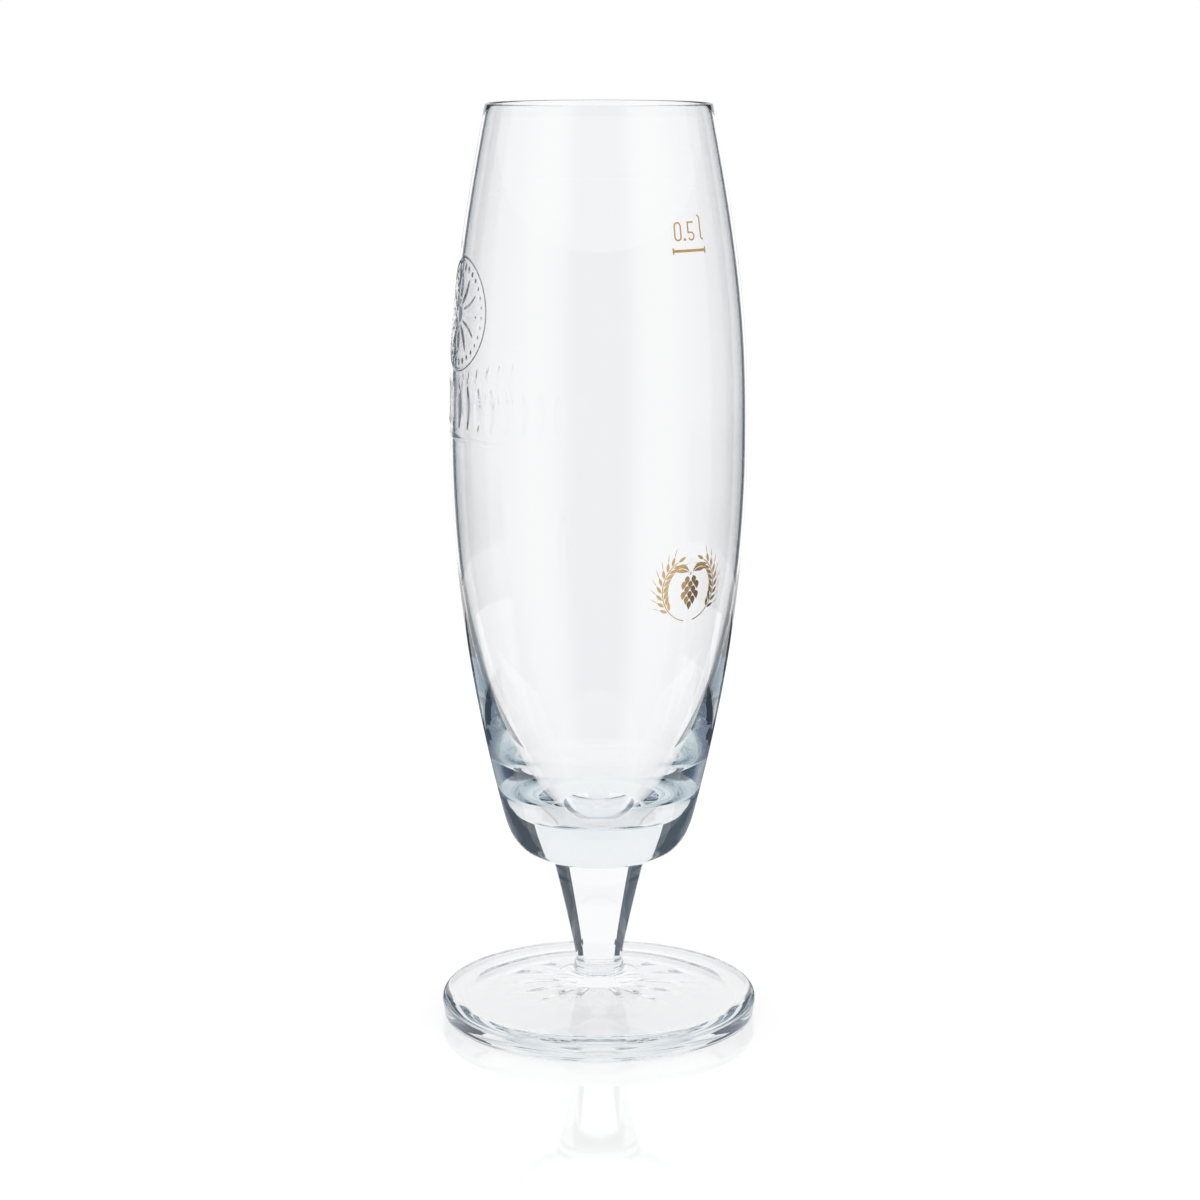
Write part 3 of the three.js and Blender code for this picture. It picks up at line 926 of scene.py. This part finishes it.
matt_gold = make_gold(
    "matt_gold",
    full_colour=(0.66, 0.39, 0.10),
    thin_colour=(0.76, 0.50, 0.17),
    metallic=0.3,
    polish=0.34,
)
burnished_gold = make_gold(
    "burnished_gold",
    full_colour=(0.88, 0.60, 0.27),
    thin_colour=(0.95, 0.70, 0.38),
    metallic=1.0,
    polish=0.1,
)
print("golds:", matt_gold.name, burnished_gold.name)

# %% [markdown]
# ## Fill mark
#
# The mark is a bar with a tick at each end, and over it the measure in thin upright figures. A stroke
# of one width along a path of straights and arcs makes every figure.

# %% Print the fill mark
MARK_AZIMUTH = math.radians(39.8)
MARK_HEIGHT = RIM_TOP - 35.0 * MM
MARK_LENGTH = 10.6
MARK_THICKNESS = 0.66
MARK_TICK_HEIGHT = 1.55
MARK_TICK_WIDTH = 0.4
MARK_TICK_CORNER = 0.02
BAR_STEPS = 16


def bar_rows():
    """The bar as one strip of rows from left to right, tall at its two ticks."""
    half = MARK_LENGTH / 2
    shoulder = half - MARK_TICK_WIDTH
    tick = MARK_TICK_HEIGHT / 2
    bar = [(shoulder * (2 * i / BAR_STEPS - 1), MARK_THICKNESS / 2) for i in range(BAR_STEPS + 1)]
    head = [(-half, tick), (-shoulder - MARK_TICK_CORNER, tick)]
    tail = [(-across, up) for across, up in reversed(head)]
    return [(point(across, up), point(across, -up)) for across, up in head + bar + tail]


lay_film([bar_rows()], MARK_AZIMUTH, MARK_HEIGHT, "gold_fill_line", matt_gold, "fill_line")

# %% Describe the figures
NUMERAL_RISE = 2.4
NUMERAL_HEIGHT = 4.65
NUMERAL_WIDTH = 2.2
LETTER_HEIGHT = 6.2
LETTER_HOOK = 0.74
FIVE_HOOK = math.radians(-153)
POINT_RADIUS = 0.34
FILM_STROKE = 0.38
FIGURE_STEPS = 14


def nought_path():
    """Up one side of a narrow ring, over its head, down, and round its foot."""
    bend = (NUMERAL_WIDTH - FILM_STROKE) / 2
    low = FILM_STROKE / 2 + bend
    high = NUMERAL_HEIGHT - low
    start = point(bend, (low + high) / 2)
    over = arc(point(0, high), bend, 0, math.pi, FIGURE_STEPS)
    under = arc(point(0, low), bend, math.pi, math.tau, FIGURE_STEPS)
    return [start, *over, *under, start]


def five_path():
    """Round the belly of the five, and up its neck to the flag."""
    bend = (NUMERAL_WIDTH - FILM_STROKE) / 2
    belly = FILM_STROKE / 2 + bend
    top = NUMERAL_HEIGHT - FILM_STROKE / 2
    bowl_of_five = arc(point(0, belly), bend, FIVE_HOOK, math.pi / 2, FIGURE_STEPS)
    return [*bowl_of_five, point(-bend, belly + bend), point(-bend, top), point(bend, top)]


def letter_path():
    """The litre sign: an upright stroke with a hook at its foot and its head."""
    low = FILM_STROKE / 2 + LETTER_HOOK
    high = LETTER_HEIGHT - low
    foot_hook = arc(point(LETTER_HOOK, low), LETTER_HOOK, -math.pi / 2, -math.pi, EDGE_STEPS)
    head_hook = arc(point(-LETTER_HOOK, high), LETTER_HOOK, 0, math.pi / 2, EDGE_STEPS)
    return [*foot_hook, *head_hook]


def dot_rows(radius):
    """A round dot standing on the line, as rows from its foot to its head."""
    rows = []
    for i in range(FIGURE_STEPS + 1):
        turned = math.pi * i / FIGURE_STEPS
        up = radius * (1 - math.cos(turned))
        half = max(radius * math.sin(turned), radius / FIGURE_STEPS)
        rows.append((point(-half, up), point(half, up)))
    return rows


print("height of the numerals in mm:", NUMERAL_HEIGHT)

# %% Print the figures
ZERO_ASIDE = -3.4
POINT_ASIDE = -1.35
FIVE_ASIDE = 0.8
LITRE_ASIDE = 4.1
FIGURES = {
    "gold_zero": (ZERO_ASIDE, stroke(nought_path(), FILM_STROKE / 2), "numeral_zero"),
    "gold_point": (POINT_ASIDE, dot_rows(POINT_RADIUS), "decimal_point"),
    "gold_five": (FIVE_ASIDE, stroke(five_path(), FILM_STROKE / 2), "numeral_five"),
    "gold_litre": (LITRE_ASIDE, stroke(letter_path(), FILM_STROKE / 2), "litre_letter"),
}
for name, (across, rows, node) in FIGURES.items():
    azimuth = MARK_AZIMUTH + across * MM / wall_radius(MARK_HEIGHT)
    lay_film([rows], azimuth, MARK_HEIGHT + NUMERAL_RISE * MM, name, matt_gold, node)

# %% [markdown]
# ## Emblem
#
# A wreath of two barley ears round a hop cone stands for beer on glasses everywhere. The print is
# made of small separate shapes with clear glass between them, so grains, scales and the halves of the
# leaves are islands of their own, set along an arc, in rows or along a bent rib.

# %% Print the barley ears
EMBLEM_AZIMUTH = math.radians(38.4)
EMBLEM_HEIGHT = BOWL_SEAT + 77.2 * MM
EMBLEM_RADIUS = 8.2
EAR_START = math.radians(10)
EAR_END = math.radians(150)
FIRST_GRAIN = math.radians(50)
GRAIN_PAIRS = 8
GRAIN_LENGTH = 2.4
GRAIN_HALF_WIDTH = 0.42
GRAIN_TILT = math.radians(32)
GRAIN_GAP = 0.2
AWN_LENGTH = 2.2
AWN_HALF_WIDTH = 0.09
AWN_FULLEST = 0.3
STALK_HALF_WIDTH = 0.13
STALK_STEPS = 40


def turned_by(direction, angle):
    """A direction of the drawing turned anticlockwise."""
    return point(
        direction.x * math.cos(angle) - direction.y * math.sin(angle),
        direction.x * math.sin(angle) + direction.y * math.cos(angle),
    )


def ear_strips(side):
    """A stalk along an arc, pairs of grains that lean away from it, and an awn from every grain."""
    def on_arc(angle):
        return point(side * EMBLEM_RADIUS * math.sin(angle), -EMBLEM_RADIUS * math.cos(angle))

    def along_arc(angle):
        return point(side * math.cos(angle), math.sin(angle))

    angles = [EAR_START + (EAR_END - EAR_START) * i / STALK_STEPS for i in range(STALK_STEPS + 1)]
    strips = [stroke([on_arc(angle) for angle in angles], STALK_HALF_WIDTH)]
    for pair in range(GRAIN_PAIRS):
        angle = FIRST_GRAIN + (EAR_END - FIRST_GRAIN) * pair / GRAIN_PAIRS
        for lean in (-1, 1):
            direction = turned_by(along_arc(angle), lean * GRAIN_TILT)
            outwards = turned_by(along_arc(angle), lean * math.pi / 2)
            foot_point = on_arc(angle) + (STALK_HALF_WIDTH + GRAIN_GAP) * outwards
            tip = foot_point + GRAIN_LENGTH * direction
            strips.append(blade(foot_point, tip, GRAIN_HALF_WIDTH))
            awn_foot = tip + GRAIN_GAP / 2 * direction
            awn_tip = awn_foot + AWN_LENGTH * direction
            strips.append(blade(awn_foot, awn_tip, AWN_HALF_WIDTH, AWN_FULLEST))
    last = on_arc(EAR_END) + GRAIN_GAP * along_arc(EAR_END)
    strips.append(blade(last, last + GRAIN_LENGTH * along_arc(EAR_END), GRAIN_HALF_WIDTH))
    return strips


def print_emblem(strips, shape):
    """Lays one shape of the emblem on the bowl."""
    lay_film(strips, EMBLEM_AZIMUTH, EMBLEM_HEIGHT, "gold_" + shape, burnished_gold, "emblem_" + shape)


EMBLEM_SIDES = {"left": -1, "right": 1}
for word, side in EMBLEM_SIDES.items():
    print_emblem(ear_strips(side), "ear_" + word)

# %% Print the hop cone
CONE_TOP = 3.4
CONE_ROWS = (2, 3, 2, 3, 2, 1)
SCALE_PITCH = 1.86
SCALE_ROW = 1.3
SCALE_LENGTH = 2.2
SCALE_HALF_WIDTH = 0.74
SCALE_FULLEST = 0.4
SCALE_LEAN = math.radians(12)
CONE_STALK = 1.0


def cone_strips():
    """Rows of pointed scales that hang between those of the row above, under a short stalk."""
    stalk = [point(0, CONE_TOP + GRAIN_GAP), point(0, CONE_TOP + CONE_STALK)]
    strips = [stroke(stalk, STALK_HALF_WIDTH)]
    for row, count in enumerate(CONE_ROWS):
        for i in range(count):
            place = i - (count - 1) / 2
            foot_point = point(place * SCALE_PITCH, CONE_TOP - row * SCALE_ROW)
            tip = foot_point + SCALE_LENGTH * turned_by(point(0, -1), place * SCALE_LEAN)
            strips.append(blade(foot_point, tip, SCALE_HALF_WIDTH, SCALE_FULLEST))
    return strips


print_emblem(cone_strips(), "hop_cone")

# %% Print the leaves
LEAF_FOOT = (0.7, 4.5)
LEAF_TIP = (5.0, 4.9)
LEAF_ARCH = 1.5
LEAF_HALF_WIDTH = 0.95
LEAF_RIB = 0.09
LEAF_STEPS = 14


def leaf_strips(side):
    """The two halves of a leaf along a bent rib that stays bare."""
    foot_point, tip = (point(side * across, up) for across, up in (LEAF_FOOT, LEAF_TIP))
    bend = (foot_point + tip) / 2 + point(0, LEAF_ARCH)
    rib = bent_line(foot_point, bend, tip, LEAF_STEPS)
    sides = stroke(rib, 1.0)
    strips = []
    for half in (0, 1):
        rows = []
        for i, (middle, pair) in enumerate(zip(rib, sides)):
            width = LEAF_HALF_WIDTH * math.sin(math.pi * i / (LEAF_STEPS - 1))
            outwards = pair[half] - middle
            rows.append((middle + LEAF_RIB * outwards, middle + (2 * LEAF_RIB + abs(width)) * outwards))
        strips.append(rows)
    return strips


for word, side in EMBLEM_SIDES.items():
    print_emblem(leaf_strips(side), "leaf_" + word)

# %% [markdown]
# ## The studio
#
# Clear glass on white would vanish without something dark beside it. Photographers stand dark cards
# to the left and right, out of the picture, so that the edges of the glass draw themselves, and leave
# the back white. Large soft panels in front give the pale stripes on the bowl. The cards are fixed to
# the camera, so the glass looks the same when it is turned in front of it.
#
# The floor is one white sheet. A part of its white is lit by the room and keeps the shadow of the
# glass. The rest glows, but only for the eye, for metal and for glass. Light that has come through
# the solid base, the stem and the foot has crossed many walls, and on a real table it would be
# gathered to a bright patch that few samples can find, so the glow is stronger for it. Round the
# glass the sheet has a polish that mirrors the foot, and it fades outwards.

# %% Make the floor
FLOOR_HALF = 4.0
FLOOR_CLEARANCE = 0.05 * MM
FLOOR_GLOW = 0.70
FLOOR_LIT = 0.30
FLOOR_LIFT = 0.045
FLOOR_DEEP_LIFT = 0.22
DEEP_CROSSINGS = 4
FLOOR_GLOSS = 0.145
FLOOR_ROUGHNESS = 0.03
POLISH_EVEN = 90 * MM
POLISH_REACH = 140 * MM


def blend_shaders(tree, share, first, second, output):
    """Gives a material a share of a second shader over the first."""
    blend = add_node(tree, "MixShader", Fac=share)
    feed(tree, first, blend.inputs[1])
    feed(tree, second, blend.inputs[2])
    feed(tree, blend.outputs["Shader"], output.inputs["Surface"])


def make_white_sheet():
    """White that is partly lit, to keep the shadow, and partly glows for the eye, metal and glass."""
    material, tree, output = bare_material("white_sheet")
    rays = add_node(tree, "LightPath").outputs
    seen = rays["Is Camera Ray"]
    for kind in ("Is Glossy Ray", "Is Transmission Ray"):
        seen = calculate(tree, "MAXIMUM", seen, rays[kind])
    level = calculate(tree, "MULTIPLY", seen, FLOOR_GLOW)
    level = calculate(tree, "MULTIPLY_ADD", rays["Is Camera Ray"], FLOOR_LIFT, level)
    deep = calculate(tree, "GREATER_THAN", rays["Transmission Depth"], DEEP_CROSSINGS)
    level = calculate(tree, "MULTIPLY_ADD", deep, FLOOR_DEEP_LIFT, level)
    white = add_node(tree, "AddShader")
    lit = add_node(tree, "BsdfDiffuse", Color=(FLOOR_LIT, FLOOR_LIT, FLOOR_LIT, 1))
    glow = add_node(tree, "Emission", Color=WHITE, Strength=level)
    feed(tree, lit.outputs["BSDF"], white.inputs[0])
    feed(tree, glow.outputs["Emission"], white.inputs[1])
    shine = add_node(tree, "BsdfGlossy", Color=WHITE, Roughness=FLOOR_ROUGHNESS)
    place = add_node(tree, "TexCoord").outputs["Object"]
    from_glass = calculate(tree, "LENGTH", place, kind="VectorMath")
    polish = add_node(tree, "MapRange", Value=from_glass, From_Min=POLISH_EVEN, From_Max=POLISH_REACH)
    polish.interpolation_type = "SMOOTHSTEP"
    polish.inputs["To Min"].default_value = FLOOR_GLOSS
    polish.inputs["To Max"].default_value = 0.0
    share = polish.outputs["Result"]
    blend_shaders(tree, share, white.outputs["Shader"], shine.outputs["BSDF"], output)
    return material


floor_mesh = bmesh.new()
bmesh.ops.create_grid(floor_mesh, x_segments=1, y_segments=1, size=FLOOR_HALF)
bmesh.ops.translate(floor_mesh, verts=floor_mesh.verts, vec=(0, 0, -FLOOR_CLEARANCE))
make_object(floor_mesh, "floor", make_white_sheet())
print("floor side in m:", 2 * FLOOR_HALF)

# %% [markdown]
# The light is a plain white room, at a level at which a colour renders about as it is written. Light
# turns often in thick glass, so it may bounce more than Blender lets it by itself. An empty object that
# copies the camera's turn about the upright axis carries the walls and the cards.

# %% Light the room
MOST_BOUNCES = 48
MOST_MIRRORINGS = 32

world = bpy.data.worlds.new("white_room")
world.use_nodes = True
room = world.node_tree.nodes["Background"]
room.inputs["Color"].default_value = WHITE
room.inputs["Strength"].default_value = 1.0
bpy.context.scene.world = world
light_paths = bpy.context.scene.cycles
light_paths.max_bounces = MOST_BOUNCES
light_paths.glossy_bounces = MOST_MIRRORINGS
light_paths.transmission_bounces = MOST_BOUNCES
print("world:", world.name)

# %% Set up the turntable
turntable = bpy.data.objects.new("turntable", None)
bpy.context.scene.collection.objects.link(turntable)
follow = turntable.constraints.new("COPY_ROTATION")
follow.target = camera
follow.use_x = False
follow.use_y = False
print("turntable follows:", follow.target.name)

# %% [markdown]
# ## Painted walls and dark cards
#
# Walls and cards are strips swept round the glass on the turntable, and only metal and glass can see
# them. A bearing of 0 degrees points to the camera. Each strip shows only the face that looks at the
# glass, so the polished floor mirrors the glass and not the back of a card.

# %% Write the helpers for walls and cards
STEP_DEGREES = 3


def on_turntable(bm, name, material):
    """Makes a stage object that only metal and glass can see."""
    card = make_object(bm, name, material)
    card.parent = turntable
    card.visible_camera = False
    card.visible_diffuse = False
    card.visible_shadow = False
    return card


def show_face(tree, colour, hidden, output):
    """Shows a colour on the face of a strip, and lets light pass its back and wherever it is hidden."""
    back = add_node(tree, "NewGeometry").outputs["Backfacing"]
    glow = add_node(tree, "Emission", Color=colour, Strength=1.0)
    clear = add_node(tree, "BsdfTransparent", Color=WHITE)
    share = calculate(tree, "MAXIMUM", back, hidden)
    blend_shaders(tree, share, glow.outputs["Emission"], clear.outputs["BSDF"], output)


def sweep(profile, start, end):
    """Spins an upright profile from one bearing to another, with its faces towards the glass."""
    bm = bmesh.new()
    turned = math.radians(start)
    verts = [bm.verts.new((p.x * math.sin(turned), -p.x * math.cos(turned), p.y)) for p in profile]
    edges = [bm.edges.new(pair) for pair in zip(verts, verts[1:])]
    bmesh.ops.spin(
        bm,
        geom=verts + edges,
        cent=(0, 0, 0),
        axis=(0, 0, 1),
        angle=math.radians(end - start),
        steps=int(end - start) // STEP_DEGREES,
    )
    bmesh.ops.recalc_face_normals(bm, faces=bm.faces)
    middle_of_glass = Vector((0, 0, RIM_TOP / 2))
    away = sum(face.normal.dot(face.calc_center_median() - middle_of_glass) for face in bm.faces)
    if away > 0:
        bmesh.ops.reverse_faces(bm, faces=bm.faces)
    return bm


print("degrees in a step of a strip:", STEP_DEGREES)

# %% [markdown]
# The walls in front and beside are painted in upright stripes: a dark blue one round the camera, pale
# panels next to it, and darker ones towards the back. A ramp over the bearing makes them. The wall in
# front is passed by light that was guided round inside the thick glass, which would carry the dark
# stripe to places where the real glass is clear. The wall above is seen only in mirrored light.

# %% Choose the stripes
CENTRE_BLUE = (0.11, 0.17, 0.28)
CENTRE_EDGE = (0.26, 0.30, 0.40)
PANEL = (0.70, 0.70, 0.71)
BACK_DARK = (0.09, 0.105, 0.13)
CAMERA_SHARE = 0.5
FULL_TURN = 360
LEFT_STRIPES = (
    (0, CENTRE_BLUE),
    (15, CENTRE_BLUE),
    (24, CENTRE_EDGE),
    (35, (0.62, 0.63, 0.68)),
    (45, PANEL),
    (62, PANEL),
    (78, (0.58, 0.58, 0.64)),
    (90, (0.54, 0.54, 0.62)),
    (110, (0.52, 0.52, 0.60)),
    (131, (0.46, 0.46, 0.54)),
    (141, (0.19, 0.21, 0.25)),
    (147, BACK_DARK),
)
RIGHT_STRIPES = (
    (15, CENTRE_BLUE),
    (24, CENTRE_EDGE),
    (33, (0.66, 0.66, 0.69)),
    (45, PANEL),
    (60, (0.68, 0.68, 0.70)),
    (78, (0.50, 0.50, 0.57)),
    (93, (0.42, 0.43, 0.52)),
    (112, (0.50, 0.50, 0.58)),
    (131, (0.50, 0.50, 0.58)),
    (141, (0.21, 0.225, 0.265)),
    (147, BACK_DARK),
)


def make_wall_paint(name, most_turns):
    """Stripes by the bearing as a share of a full turn, passed by light that turned too often."""
    material, tree, output = bare_material(name)
    place = add_node(tree, "TexCoord").outputs["Object"]
    facing = add_node(tree, "Mapping", Vector=place, Rotation=(0, 0, math.pi / 2)).outputs["Vector"]
    bearing = add_node(tree, "TexGradient", Vector=facing)
    bearing.gradient_type = "RADIAL"
    stripes = add_node(tree, "ValToRGB", Fac=bearing.outputs["Fac"])
    ends = stripes.color_ramp.elements
    ends.remove(ends[1])
    stops = [(CAMERA_SHARE - angle / FULL_TURN, colour) for angle, colour in LEFT_STRIPES]
    stops += [(CAMERA_SHARE + angle / FULL_TURN, colour) for angle, colour in RIGHT_STRIPES]
    for i, (share, colour) in enumerate(sorted(stops)):
        stop = ends[0] if i == 0 else ends.new(share)
        stop.position = share
        stop.color = (*colour, 1)
    turns = add_node(tree, "LightPath").outputs["Ray Depth"]
    passed = calculate(tree, "GREATER_THAN", turns, most_turns)
    show_face(tree, stripes.outputs["Color"], passed, output)
    return material


FRONT_TURNS = 7
front_paint = make_wall_paint("front_paint", FRONT_TURNS)
side_paint = make_wall_paint("side_paint", MOST_BOUNCES)
print("stripes:", len(LEFT_STRIPES) + len(RIGHT_STRIPES))

# %% Stand the walls
ROOM_RADIUS = 500 * MM
ROOM_HEIGHT = 300 * MM
ROOM_TOP = 1200 * MM
APRON_START = 70 * MM
CARD_LIFT = 1 * MM
FRONT_SIDE = 40
APRON_SIDE = 75
WALL_SIDE = 151

apron_start = point(APRON_START, CARD_LIFT)
wall_foot = point(ROOM_RADIUS, CARD_LIFT)
wall_head = point(ROOM_RADIUS, ROOM_HEIGHT)
wall_top = point(ROOM_RADIUS, ROOM_TOP)
WALLS = {
    "left_wall": (side_paint, (wall_foot, wall_head), -WALL_SIDE, -FRONT_SIDE),
    "right_wall": (side_paint, (wall_foot, wall_head), FRONT_SIDE, WALL_SIDE),
    "front_wall": (front_paint, (wall_foot, wall_head), -FRONT_SIDE, FRONT_SIDE),
    "front_apron": (front_paint, (apron_start, wall_foot), -APRON_SIDE, APRON_SIDE),
    "upper_wall": (side_paint, (wall_head, wall_top), -WALL_SIDE, WALL_SIDE),
}
for name, (paint, profile, start, end) in WALLS.items():
    wall = on_turntable(sweep(profile, start, end), name, paint)
    wall.visible_transmission = name != "upper_wall"
print("walls:", ", ".join(WALLS))

# %% [markdown]
# A dark card does two jobs in a glass. Mirrored in the surface, it darkens the sides of the bowl and
# the gold. Bent through the glass, it draws the dark lines in the base and the stem. The two need
# different places, so one set of cards is seen only in mirrored light and the other only through
# glass. Each card has its bearings in degrees, and its lower or near edge and its upper or far edge
# as radius and height in millimetres. Upright cards thin out towards their edges, as black cloth out
# of focus does, and flat ones lie on the table.

# %% Choose the dark cards
LEFT_CLOTH = (0.085, 0.110, 0.135)
RIGHT_CLOTH = (0.075, 0.090, 0.110)
LEFT_TEAL = (0.09, 0.135, 0.165)
RIGHT_TEAL = (0.08, 0.105, 0.13)
EDGE_SIDE = 174
MIRRORED_CARDS = {
    "left_flag": (-WALL_SIDE, -78, (450, 12), (450, 90), LEFT_CLOTH),
    "right_flag": (70, WALL_SIDE, (450, 12), (450, 120), RIGHT_CLOTH),
    "left_table_edge": (-EDGE_SIDE, -WALL_SIDE, (120, 1), (450, 1), LEFT_TEAL),
    "right_table_edge": (WALL_SIDE, EDGE_SIDE, (120, 1), (450, 1), RIGHT_TEAL),
    "left_table_base": (-WALL_SIDE, -95, (50, 1), (250, 1), LEFT_CLOTH),
    "right_table_base": (95, WALL_SIDE, (50, 1), (250, 1), RIGHT_CLOTH),
    "right_table_side": (70, 112, (252, 1), (448, 1), RIGHT_CLOTH),
}
BENT_CARDS = {
    "left_back_flag": (-WALL_SIDE, -75, (300, -24), (300, 90), LEFT_CLOTH),
    "right_back_flag": (75, WALL_SIDE, (300, -24), (300, 90), RIGHT_CLOTH),
    "left_back_top": (-WALL_SIDE, -112, (304, 42), (304, 324), LEFT_CLOTH),
    "right_back_top": (112, WALL_SIDE, (304, 42), (304, 324), RIGHT_CLOTH),
    "left_table_near": (-WALL_SIDE, -130, (100, 1), (240, 1), LEFT_CLOTH),
    "right_table_near": (130, WALL_SIDE, (100, 1), (240, 1), RIGHT_CLOTH),
    "left_table_far": (-154, -130, (240, 1), (330, 1), LEFT_TEAL),
    "right_table_far": (130, 154, (240, 1), (330, 1), RIGHT_TEAL),
}
print("cards:", ", ".join([*MIRRORED_CARDS, *BENT_CARDS]))

# %% Stand the dark cards
SOFT_EDGE = 24 * MM


def thin_towards_edges(tree, low, high):
    """How far a place is into the soft lower or upper edge of an upright card."""
    place = add_node(tree, "TexCoord").outputs["Object"]
    height = add_node(tree, "SeparateXYZ", Vector=place).outputs["Z"]
    off_middle = calculate(tree, "SUBTRACT", height, (low + high) / 2)
    distance = calculate(tree, "ABSOLUTE", off_middle)
    half = (high - low) / 2
    return map_range(tree, distance, From_Min=half - SOFT_EDGE, From_Max=half)


def stand_card(name, start, end, near, far, colour):
    """Sweeps one dark card round the glass, upright or flat on the table."""
    low, high = (point(*edge) * MM for edge in (near, far))
    material, tree, output = bare_material(name)
    hidden = thin_towards_edges(tree, low.y, high.y) if high.y > low.y else 0.0
    show_face(tree, (*colour, 1), hidden, output)
    return on_turntable(sweep([low, high], start, end), name, material)


for name, card in MIRRORED_CARDS.items():
    stand_card(name, *card).visible_transmission = False
for name, card in BENT_CARDS.items():
    stand_card(name, *card).visible_glossy = False
print("soft edge of the upright cards in mm:", SOFT_EDGE / MM)

# %% [markdown]
# One slanted card lies on the table behind the glass on the right. Only light that has crossed as
# many walls as the way through the hollow, the solid base and the stem needs can see it, so it shades
# the right of the hollow's floor and leaves the rest of the bowl clear.

# %% Lay the deep card
DEEP_CARD_CORNERS = ((76, 80), (160, 80), (300, 400), (167, 400))


def make_deep_cloth(name, colour):
    """Dark cloth that shows only after many crossings."""
    material, tree, output = bare_material(name)
    crossings = add_node(tree, "LightPath").outputs["Transmission Depth"]
    show_face(tree, (*colour, 1), calculate(tree, "LESS_THAN", crossings, DEEP_CROSSINGS), output)
    return material


deep_mesh = bmesh.new()
deep_corners = [deep_mesh.verts.new((x * MM, y * MM, CARD_LIFT)) for x, y in DEEP_CARD_CORNERS]
deep_mesh.faces.new(deep_corners)
deep_cloth = make_deep_cloth("right_deep_card", RIGHT_CLOTH)
deep_card = on_turntable(deep_mesh, "right_deep_card", deep_cloth)
deep_card.visible_glossy = False
print("deep card:", deep_card.name)
